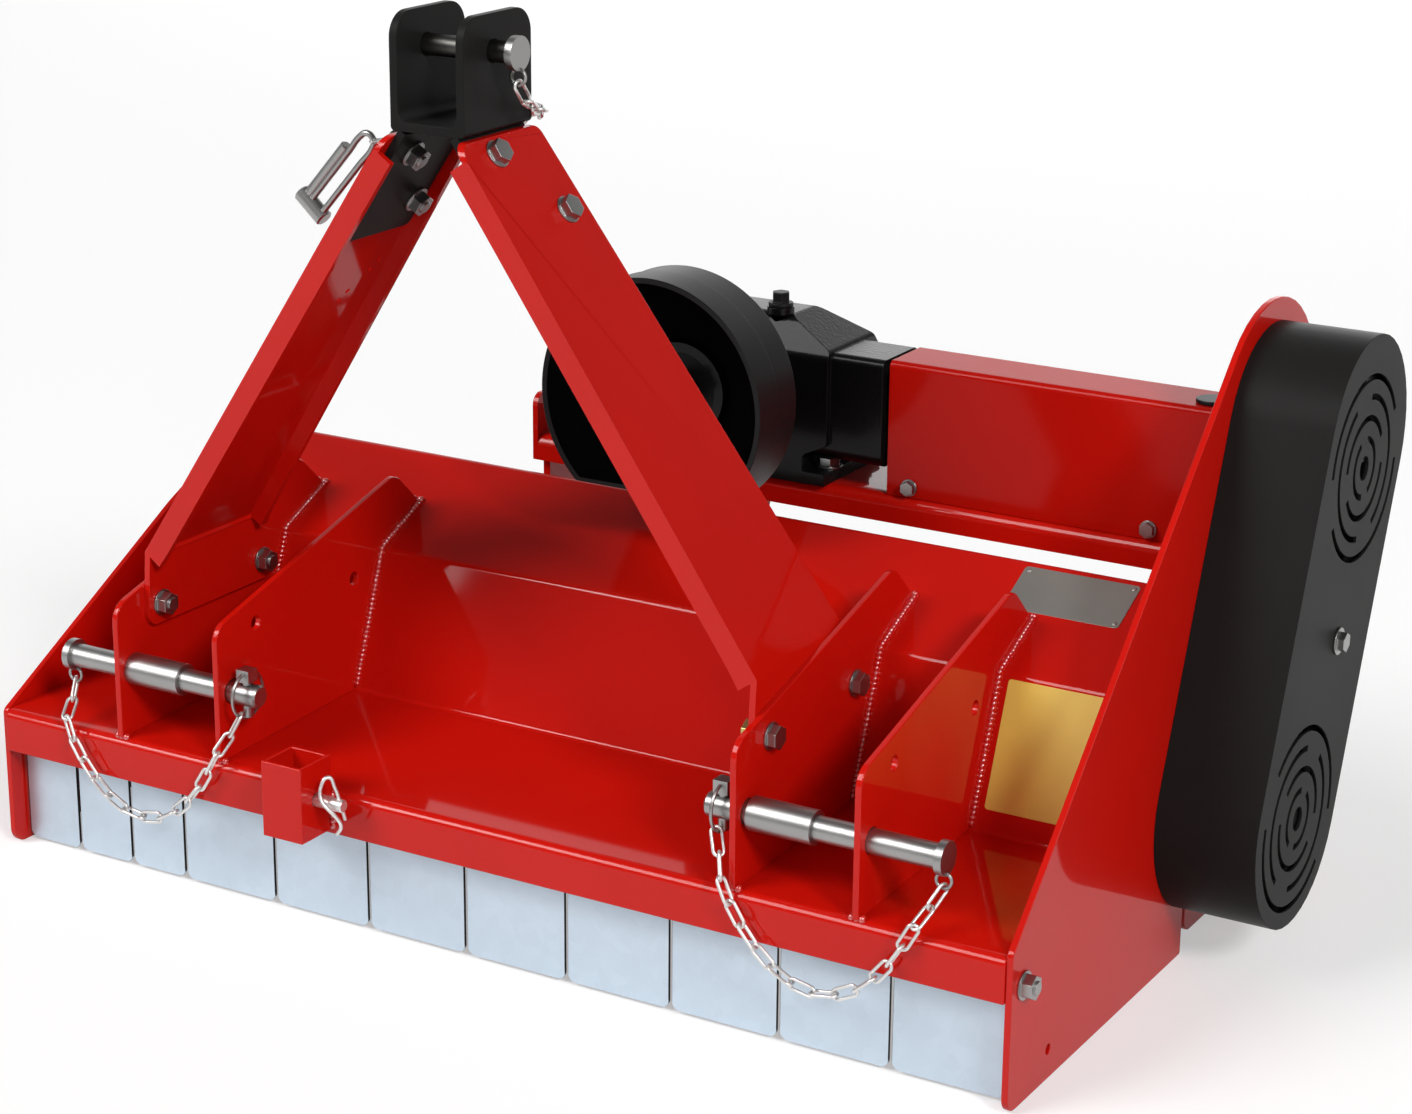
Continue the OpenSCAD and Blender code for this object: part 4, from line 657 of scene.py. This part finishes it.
class MOWER_OT_black_parts(Operator):
    """Finishes the belt guard, the clevis, the input guard, the roller and the rotor."""

    bl_idname = "mower.black_parts"
    bl_label = "Black parts"

    def execute(self, context):
        edge = finish().sheet_edge
        node_copy("belt_guard", black_paint(), 1.2 * edge)
        node_copy("top_clevis", black_paint(), 1.1 * edge)
        cup = node_copy("input_guard", black_plastic(), 1.2 * edge)
        # The hollow of the input guard is painted darker, as painted shade
        self.paint_hollow_shade(cup)
        node_copy("plugs", black_plastic(), edge)
        node_copy("roller", black_paint())
        node_copy("rotor", black_paint())
        return {"FINISHED"}

    def paint_hollow_shade(self, cup):
        """Gives the hollow of the input guard a near-black, dull finish as painted shade, for the shadow deep
        inside it.
        """
        cup.data.materials.append(hollow_shade_plastic())
        hollow_r = CUP_R - CUP_WALL
        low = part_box("input_guard")[0]
        for face in cup.data.polygons:
            dx = face.center.x - CUP_AXIS.x
            dz = face.center.z - CUP_AXIS.z
            inside = math.hypot(dx, dz) < hollow_r and low[1] + CUP_RIM < face.center.y
            # Inner faces of the hollow take the near-black plastic: painted shade
            if inside and face.normal.y < 0.2 and face.normal.x * dx + face.normal.z * dz <= 1e-4:
                face.material_index = 1


class MOWER_OT_gearbox(Operator):
    """Finishes the gearbox casting and the drive, bearings and hammers."""

    bl_idname = "mower.gearbox"
    bl_label = "Gearbox"

    def execute(self, context):
        node_copy("gearbox_housing", black_casting(), CASTING_EDGE, angle=25)
        for node in ("upper_pulley", "lower_pulley"):
            node_copy(node, black_casting())
        # The input shaft and the drive bearings in the cup's hollow are painted near-black: painted shade
        node_copy("input_shaft", painted_shade_steel(), SHAFT_EDGE)
        node_copy("drive_bearings", painted_shade_steel())
        for node in ("crown_gear", "bevel_pinion", "cross_shaft", "tensioner_arm", "idler_pulley",
                     "rotor_bearings", "hammers_row_1", "hammers_row_2", "hammers_row_3", "hammers_row_4"):
            node_copy(node, bare_steel())
        node_copy("drive_belts", belt_rubber())
        return {"FINISHED"}


class MOWER_OT_curtain(Operator):
    """Finishes the hanging flaps, with near-black cut edges: partly bare cut steel, partly painted shade for
    the gaps between the flaps.
    """

    bl_idname = "mower.curtain"
    bl_label = "Curtain"

    def execute(self, context):
        for i in range(1, 12):
            flap = node_copy("flap_%02d" % i, galvanised_sheet(), FLAP_EDGE)
            across = [v.co.x for v in flap.data.vertices]
            left, right = min(across), max(across)
            # The narrow side faces are painted near-black: bare cut edge, and painted shade between the flaps
            repaint(flap, painted_shade_steel(), lambda c: min(c.x - left, right - c.x) < CUT_EDGE_AND_GAP_SHADE)
        return {"FINISHED"}


class MOWER_OT_hardware(Operator):
    """Finishes the plated pins, bolts and chains."""

    bl_idname = "mower.hardware"
    bl_label = "Plated hardware"

    def execute(self, context):
        edge = finish().small_edge
        for node in ("clevis_bolts", "flap_rod", "gearbox_fasteners", "cover_fasteners", "roller_bolts",
                     "lower_linchpins", "lower_pin_left", "lower_pin_right", "lower_sleeve_left",
                     "lower_sleeve_right"):
            node_copy(node, zinc_plate(), edge)
        for node in ("top_chain", "lower_chains"):
            node_copy(node, bright_zinc())
        node_copy("hammer_bolts", zinc_plate())
        bolts = node_copy("arm_bolts", zinc_plate(), edge)
        nut = place(*NUT_AT)
        repaint(bolts, yellow_zinc(), lambda c: (c - nut).length < NUT_REACH)
        pin = node_copy("top_link_pin", zinc_plate(), edge)
        head_x = place(TOP_PIN_HEAD_X, 0, 0).x
        repaint(pin, worn_pin(), lambda c: c.x < head_x)
        self.top_linchpin()
        self.stand_pin()
        return {"FINISHED"}

    def top_linchpin(self):
        """The top linchpin: a cross head, a shank and a spring loop, leaning as it hangs on its chain."""
        along = Vector((math.sin(LINCH_LEAN), 0, math.cos(LINCH_LEAN)))
        across = Vector((math.cos(LINCH_LEAN), 0, -math.sin(LINCH_LEAN)))

        def spot(a, b, c):
            return place(*LINCH_AT) + (along * a + across * b - Vector((0, 1, 0)) * c) / 1000

        loop_r = 8.0
        loop_y = 10.5
        head_a = -30
        turn = [math.radians(180 - 45 * k) for k in range(5)]
        bow = [spot(62 + loop_r * math.sin(a), loop_r * math.cos(a), loop_y) for a in turn]
        legs = [spot(a, -loop_r, loop_y) for a in (head_a, 0, 40)]
        back = [spot(a, loop_r, loop_y) for a in (40, 0, head_a)]
        loop = wire("linchpin loop", legs + bow + back, 0.0031)
        bm = bmesh.new()
        rod(bm, spot(head_a, -22, 8), spot(head_a, 13, 8), 0.0085, chamfer=0.0015)
        rod(bm, spot(head_a, -14, 8), spot(42, -14, 8), 0.0056, chamfer=0.0015)
        stand_for("top_linchpin", joined("top_linchpin_finish", bm, [loop]), zinc_plate())

    def stand_pin(self):
        """The stand's cross pin with its spring clip."""
        x0, x1, y, z = STAND_PIN
        studio = bpy.context.scene.mower_studio
        right = Vector((math.cos(studio.azimuth), math.sin(studio.azimuth), 0))
        towards = Vector((math.sin(studio.azimuth), -math.cos(studio.azimuth), 0))
        middle = place(x1 - 10, y, z)
        bends = ((1.5, -28, 2), (5.5, -20, 4), (2.5, -10, 8), (-5, -1, 9), (-10.7, 6, 7), (-11.4, 18, 3),
                 (-5, 25.7, 0), (0.5, 16, 0), (4.5, 3, 0), (9, -15, 0))
        clip = wire("spring clip", [middle + (right * u + towards * w) / 1000 + Vector((0, 0, v / 1000))
                                    for u, v, w in bends], 0.0018)
        bm = bmesh.new()
        rod(bm, place(x0 + 3, y, z), place(x1, y, z), 0.006, chamfer=0.0010)
        rod(bm, place(x0, y, z), place(x0 + 6, y, z), 0.010)
        stand_for("stand_pin", joined("stand_pin_finish", bm, [clip]), bright_zinc())


def bead_tree():
    """Geometry nodes: ripples of weld along the edges of a path mesh."""
    name = "Mower weld bead"
    tree = bpy.data.node_groups.get(name)
    if tree:
        return tree
    tree = bpy.data.node_groups.new(name, "GeometryNodeTree")
    t = Tree(tree)
    group_socket(tree, "Geometry", "INPUT", "NodeSocketGeometry")
    group_socket(tree, "Radius", "INPUT", "NodeSocketFloat", 0.0026)
    group_socket(tree, "Ripple", "INPUT", "NodeSocketFloat", 0.0032)
    group_socket(tree, "Material", "INPUT", "NodeSocketMaterial")
    group_socket(tree, "Geometry", "OUTPUT", "NodeSocketGeometry")
    source = t.add("NodeGroupInput")
    sink = t.add("NodeGroupOutput")
    curve = t.add("GeometryNodeMeshToCurve")
    even = t.add("GeometryNodeResampleCurve", mode="LENGTH")
    drop = t.add("GeometryNodeMeshIcoSphere")
    drop.inputs["Subdivisions"].default_value = 2
    spread = t.add("GeometryNodeInstanceOnPoints")
    tangent = t.add("GeometryNodeInputTangent")
    turn = t.add("FunctionNodeAlignRotationToVector", axis="X")
    size = t.add("FunctionNodeRandomValue", data_type="FLOAT_VECTOR")
    size.inputs["Min"].default_value = (0.82, 0.94, 0.94)
    size.inputs["Max"].default_value = (1.0, 1.06, 1.06)
    size.inputs["Seed"].default_value = 4
    real = t.add("GeometryNodeRealizeInstances")
    smooth = t.add("GeometryNodeSetShadeSmooth")
    paint = t.add("GeometryNodeSetMaterial")
    t.join(source.outputs["Geometry"], curve.inputs["Mesh"])
    t.join(curve.outputs["Curve"], even.inputs["Curve"])
    t.join(source.outputs["Ripple"], even.inputs["Length"])
    t.join(even.outputs["Curve"], spread.inputs["Points"])
    t.join(source.outputs["Radius"], drop.inputs["Radius"])
    t.join(drop.outputs["Mesh"], spread.inputs["Instance"])
    t.join(tangent.outputs["Tangent"], turn.inputs["Vector"])
    t.join(turn.outputs["Rotation"], spread.inputs["Rotation"])
    t.join(size.outputs["Value"], spread.inputs["Scale"])
    t.join(spread.outputs["Instances"], real.inputs["Geometry"])
    t.join(real.outputs["Geometry"], smooth.inputs["Geometry"])
    t.join(smooth.outputs["Geometry"], paint.inputs["Geometry"])
    t.join(source.outputs["Material"], paint.inputs["Material"])
    t.join(paint.outputs["Geometry"], sink.inputs["Geometry"])
    return tree


def set_inputs(modifier, **values):
    """Sets a modifier's inputs by their sockets' identifiers."""
    ids = {s.name: s.identifier for s in modifier.node_group.interface.items_tree
           if s.item_type == "SOCKET" and s.in_out == "INPUT"}
    for name, value in values.items():
        modifier[ids[name]] = value


def path_mesh(name, paths):
    bm = bmesh.new()
    for path in paths:
        verts = [bm.verts.new(p) for p in path]
        for a, b in zip(verts, verts[1:]):
            bm.edges.new((a, b))
    return mesh_from(name, bm)


class MOWER_OT_welds(Operator):
    """Lays weld beads where the lugs stand on the deck and where the socket meets the lip."""

    bl_idname = "mower.welds"
    bl_label = "Weld beads"

    def execute(self, context):
        fit = fittings()
        foot, fold, top = DECK_FOLDS[2:5]
        tail_z = fold[1] + (top[1] - fold[1]) * (LUG_TAIL_Y - fold[0]) / (top[0] - fold[0])
        run = ((foot[0] + 2, foot[1] + 5), (fold[0] - 1.5, fold[1] + 1), (LUG_TAIL_Y, tail_z))
        paths = []
        for x in LUG_X:
            for side in (-1, 1):
                wx = x + side * (LUG_HALF + BEAD_OFF)
                paths.append([place(wx, y, z + BEAD_OFF) for y, z in run])
            paths.append([place(x + side * TACK_HALF, *TACK_AT) for side in (-1, 1)])
        for side in (-1, 1):
            wx = SOCKET_X + side * (SOCKET_HALF + BEAD_OFF)
            paths.append([place(wx, DECK_FOLDS[1][0] - BEAD_OFF, z) for z in SOCKET_WELD_Z])
        obj = mesh_object("weld_beads", path_mesh("weld_beads", paths))
        mod = obj.modifiers.new("beads", "NODES")
        mod.node_group = bead_tree()
        set_inputs(mod, Radius=fit.bead, Ripple=fit.ripple, Material=weld_paint())
        add_piece(baked(obj), weld_paint())
        return {"FINISHED"}


def plate_mesh(name, low, high, spread, rise, corner, thick):
    """A thin plate with round corners on the flat between two folds of the deck.

    Spread is from and to across the deck, and rise is from and to up the flat, in millimetres.
    """
    x0, x1 = spread
    s0, s1 = rise
    along = Vector((0, high[0] - low[0], high[1] - low[1])).normalized()
    across = Vector((1, 0, 0))
    up = across.cross(along)
    start = Vector((0, low[0], low[1])) + up * PLATE_LIFT
    ring = []
    for cx, cs, turn in ((x1 - corner, s1 - corner, 0), (x0 + corner, s1 - corner, 90),
                         (x0 + corner, s0 + corner, 180), (x1 - corner, s0 + corner, 270)):
        for step in range(7):
            a = math.radians(turn + 15 * step)
            ring.append((cx + corner * math.cos(a), cs + corner * math.sin(a)))
    bm = bmesh.new()
    face = bm.faces.new([bm.verts.new(place(*(start + across * x + along * q))) for x, q in ring])
    wall = bmesh.ops.extrude_face_region(bm, geom=[face])
    tops = [v for v in wall["geom"] if isinstance(v, bmesh.types.BMVert)]
    bmesh.ops.translate(bm, verts=tops, vec=up * thick)
    bmesh.ops.recalc_face_normals(bm, faces=bm.faces)
    return mesh_from(name, bm)


def rivet_tree(axis):
    """Geometry nodes: a flat dome on every point of a mesh, standing along the axis."""
    name = "Mower rivets"
    tree = bpy.data.node_groups.get(name)
    if tree:
        return tree
    tree = bpy.data.node_groups.new(name, "GeometryNodeTree")
    t = Tree(tree)
    group_socket(tree, "Geometry", "INPUT", "NodeSocketGeometry")
    group_socket(tree, "Radius", "INPUT", "NodeSocketFloat", 0.0026)
    group_socket(tree, "Material", "INPUT", "NodeSocketMaterial")
    group_socket(tree, "Geometry", "OUTPUT", "NodeSocketGeometry")
    source = t.add("NodeGroupInput")
    sink = t.add("NodeGroupOutput")
    dome = t.add("GeometryNodeMeshUVSphere")
    dome.inputs["Segments"].default_value = 16
    dome.inputs["Rings"].default_value = 8
    turn = t.add("FunctionNodeAlignRotationToVector", axis="Z")
    turn.inputs["Vector"].default_value = axis
    spread = t.add("GeometryNodeInstanceOnPoints")
    spread.inputs["Scale"].default_value = (1.0, 1.0, 0.45)
    real = t.add("GeometryNodeRealizeInstances")
    smooth = t.add("GeometryNodeSetShadeSmooth")
    paint = t.add("GeometryNodeSetMaterial")
    t.join(source.outputs["Geometry"], spread.inputs["Points"])
    t.join(source.outputs["Radius"], dome.inputs["Radius"])
    t.join(dome.outputs["Mesh"], spread.inputs["Instance"])
    t.join(turn.outputs["Rotation"], spread.inputs["Rotation"])
    t.join(spread.outputs["Instances"], real.inputs["Geometry"])
    t.join(real.outputs["Geometry"], smooth.inputs["Geometry"])
    t.join(smooth.outputs["Geometry"], paint.inputs["Geometry"])
    t.join(source.outputs["Material"], paint.inputs["Material"])
    t.join(paint.outputs["Geometry"], sink.inputs["Geometry"])
    return tree


class MOWER_OT_plates(Operator):
    """Puts a blank data plate on the upper panel and a blank yellow film on the riser."""

    bl_idname = "mower.plates"
    bl_label = "Blank plates"

    def execute(self, context):
        thick = fittings().film_t
        foot, low, high = DECK_FOLDS[2:5]
        mesh = plate_mesh("data_plate", low, high, PLATE_X, PLATE_UP, PLATE_CORNER, thick)
        plate = flattened(eased(mesh_object("data_plate", mesh), PLATE_EDGE))
        add_piece(plate, plate_metal())
        mesh = plate_mesh("yellow_film", foot, low, FILM_X, FILM_UP, FILM_CORNER, 0.5 * thick)
        add_piece(mesh_object("yellow_film", mesh), yellow_film())
        along = Vector((0, high[0] - low[0], high[1] - low[1])).normalized()
        up = Vector((1, 0, 0)).cross(along)
        spots = [place(*(Vector((x, low[0], low[1])) + along * q + up * 0.5))
                 for x in (PLATE_X[0] + RIVET_INSET, PLATE_X[1] - RIVET_INSET)
                 for q in (PLATE_UP[0] + RIVET_INSET, PLATE_UP[1] - RIVET_INSET)]
        rivets = mesh_object("plate_rivets", path_mesh("plate_rivets", [[spot] for spot in spots]))
        mod = rivets.modifiers.new("rivets", "NODES")
        mod.node_group = rivet_tree(up)
        set_inputs(mod, Radius=fittings().rivet, Material=plate_metal())
        add_piece(baked(rivets), plate_metal())
        return {"FINISHED"}


def mirror_rays(t, path):
    """One for rays that a mirror or glass sends on, else zero."""
    both = t.add("ShaderNodeMath", operation="MAXIMUM")
    t.join(path.outputs["Is Glossy Ray"], both.inputs[0])
    t.join(path.outputs["Is Transmission Ray"], both.inputs[1])
    return both.outputs[0]


def seen_rays(t, path):
    """One for what the camera sees, straight or in a mirror, else zero."""
    both = t.add("ShaderNodeMath", operation="MAXIMUM")
    t.join(path.outputs["Is Camera Ray"], both.inputs[0])
    t.join(mirror_rays(t, path), both.inputs[1])
    return both.outputs[0]


class MOWER_OT_stage(Operator):
    """Sets up the camera, a pale floor and soft lights."""

    bl_idname = "mower.stage"
    bl_label = "Studio"

    def execute(self, context):
        scene = context.scene
        s = scene.mower_studio
        scene.view_settings.view_transform = "Standard"
        camera = bpy.data.cameras.new("camera")
        camera.sensor_fit = "HORIZONTAL"
        camera.sensor_width = 36.0
        camera.lens = s.lens
        camera.clip_end = 50.0
        eye = link(bpy.data.objects.new("camera", camera))
        turn = (Matrix.Rotation(s.azimuth, 3, "Z") @ Matrix.Rotation(math.pi / 2 - s.elevation, 3, "X")
                @ Matrix.Rotation(s.roll, 3, "Z"))
        eye.matrix_world = Matrix.Translation(Vector(s.eye)) @ turn.to_4x4()
        scene.camera = eye
        self.floor(s)
        self.sky(scene, s)
        for name, heading, angle, power in (
            ("left daylight", (0.46, 0.66, -0.68), 28, s.sun),
            ("right daylight", (-0.70, 0.43, -0.57), 12, s.side_sun),
        ):
            sun = bpy.data.lights.new(name, "SUN")
            sun.energy = power
            sun.angle = math.radians(angle)
            holder = link(bpy.data.objects.new(name, sun))
            holder.rotation_euler = Vector(heading).to_track_quat("-Z", "Y").to_euler()
        for name, spot, aim, size, power in (
            ("left softbox", (-2.6, -2.6, 2.2), (0.0, 0.0, 0.3), (1.2, 1.8), 26.0),
            ("right softbox", (3.2, -0.4, 1.9), (0.3, 0.0, 0.4), (1.6, 1.8), 16.0),
            ("front softbox", (2.2, -3.0, 1.75), (0.0, 0.0, 0.4), (0.45, 0.45), 14.0),
            ("backdrop", (-1.6, 6.4, 1.9), (-1.6, 0.0, 1.9), (6.0, 3.4), 80.0),
        ):
            lamp = bpy.data.lights.new(name, "AREA")
            lamp.shape = "RECTANGLE"
            lamp.size = size[0]
            lamp.size_y = size[1]
            lamp.energy = power
            holder = link(bpy.data.objects.new(name, lamp))
            holder.location = spot
            holder.rotation_euler = (Vector(aim) - Vector(spot)).to_track_quat("-Z", "Y").to_euler()
        return {"FINISHED"}

    def floor(self, s):
        bm = bmesh.new()
        bmesh.ops.create_grid(bm, x_segments=1, y_segments=1, size=14.0)
        obj = mesh_object("floor", mesh_from("floor", bm))
        obj.location.z = -0.0006
        material = bpy.data.materials.new("floor")
        material.use_nodes = True
        t = Tree(material.node_tree)
        material.node_tree.nodes.clear()
        out = t.add("ShaderNodeOutputMaterial")
        matt = t.add("ShaderNodeBsdfDiffuse")
        matt.inputs["Color"].default_value = (s.floor, s.floor, s.floor, 1)
        glow = t.add("ShaderNodeEmission")
        glow.inputs["Color"].default_value = (1, 1, 1, 1)
        path = t.add("ShaderNodeLightPath")
        level = t.add("ShaderNodeMath", operation="MULTIPLY")
        level.inputs[1].default_value = s.floor_lift
        t.join(seen_rays(t, path), level.inputs[0])
        t.join(level.outputs[0], glow.inputs["Strength"])
        both = t.add("ShaderNodeAddShader")
        t.join(matt.outputs["BSDF"], both.inputs[0])
        t.join(glow.outputs["Emission"], both.inputs[1])
        t.join(both.outputs["Shader"], out.inputs["Surface"])
        set_material(obj, material)

    def sky(self, scene, s):
        world = bpy.data.worlds.new("studio")
        world.use_nodes = True
        scene.world = world
        t = Tree(world.node_tree)
        world.node_tree.nodes.clear()
        out = t.add("ShaderNodeOutputWorld")
        even = t.add("ShaderNodeBackground")
        even.inputs["Color"].default_value = (1, 1, 1, 1)
        even.inputs["Strength"].default_value = s.sky
        white = t.add("ShaderNodeBackground")
        white.inputs["Color"].default_value = (1, 1, 1, 1)
        white.inputs["Strength"].default_value = 1.0
        path = t.add("ShaderNodeLightPath")
        pick = t.add("ShaderNodeMixShader")
        # The white stands behind the mower; mirrored rays that go elsewhere see the dark side of the studio
        where = t.add("ShaderNodeTexCoord")
        ahead = t.add("ShaderNodeVectorMath", operation="DOT_PRODUCT")
        ahead.inputs[1].default_value = (-math.sin(s.azimuth), math.cos(s.azimuth), 0.0)
        t.join(where.outputs["Generated"], ahead.inputs[0])
        behind = t.add("ShaderNodeMapRange", interpolation_type="SMOOTHSTEP")
        behind.inputs["From Min"].default_value = 0.45
        behind.inputs["From Max"].default_value = 0.90
        t.join(ahead.outputs["Value"], behind.inputs["Value"])
        mirrored = t.add("ShaderNodeMath", operation="MULTIPLY")
        t.join(behind.outputs["Result"], mirrored.inputs[0])
        t.join(mirror_rays(t, path), mirrored.inputs[1])
        shown = t.add("ShaderNodeMath", operation="MAXIMUM")
        t.join(path.outputs["Is Camera Ray"], shown.inputs[0])
        t.join(mirrored.outputs[0], shown.inputs[1])
        t.join(shown.outputs[0], pick.inputs["Fac"])
        t.join(even.outputs["Background"], pick.inputs[1])
        t.join(white.outputs["Background"], pick.inputs[2])
        t.join(pick.outputs["Shader"], out.inputs["Surface"])


class MOWER_PT_panel(Panel):
    """Lists the mower's pieces in the sidebar."""

    bl_idname = "MOWER_PT_panel"
    bl_label = "Flail mower"
    bl_space_type = "VIEW_3D"
    bl_region_type = "UI"
    bl_category = "Flail mower"

    def draw(self, context):
        for operator in OPERATORS:
            self.layout.operator(operator.bl_idname)


OPERATORS = (MOWER_OT_stage, MOWER_OT_sheet_metal, MOWER_OT_black_parts, MOWER_OT_gearbox, MOWER_OT_curtain,
             MOWER_OT_hardware, MOWER_OT_welds, MOWER_OT_plates)
GROUPS = (MowerFinish, MowerFittings, MowerStudio)


def register():
    for cls in (*GROUPS, *OPERATORS, MOWER_PT_panel):
        bpy.utils.register_class(cls)
    bpy.types.Scene.mower_finish = PointerProperty(type=MowerFinish)
    bpy.types.Scene.mower_fittings = PointerProperty(type=MowerFittings)
    bpy.types.Scene.mower_studio = PointerProperty(type=MowerStudio)


def unregister():
    del bpy.types.Scene.mower_studio
    del bpy.types.Scene.mower_fittings
    del bpy.types.Scene.mower_finish
    for cls in reversed((*GROUPS, *OPERATORS, MOWER_PT_panel)):
        bpy.utils.unregister_class(cls)


def main():
    register()
    bpy.ops.mower.stage()
    bpy.ops.mower.sheet_metal()
    bpy.ops.mower.black_parts()
    bpy.ops.mower.gearbox()
    bpy.ops.mower.curtain()
    bpy.ops.mower.hardware()
    bpy.ops.mower.welds()
    bpy.ops.mower.plates()


if __name__ == "__main__":
    main()
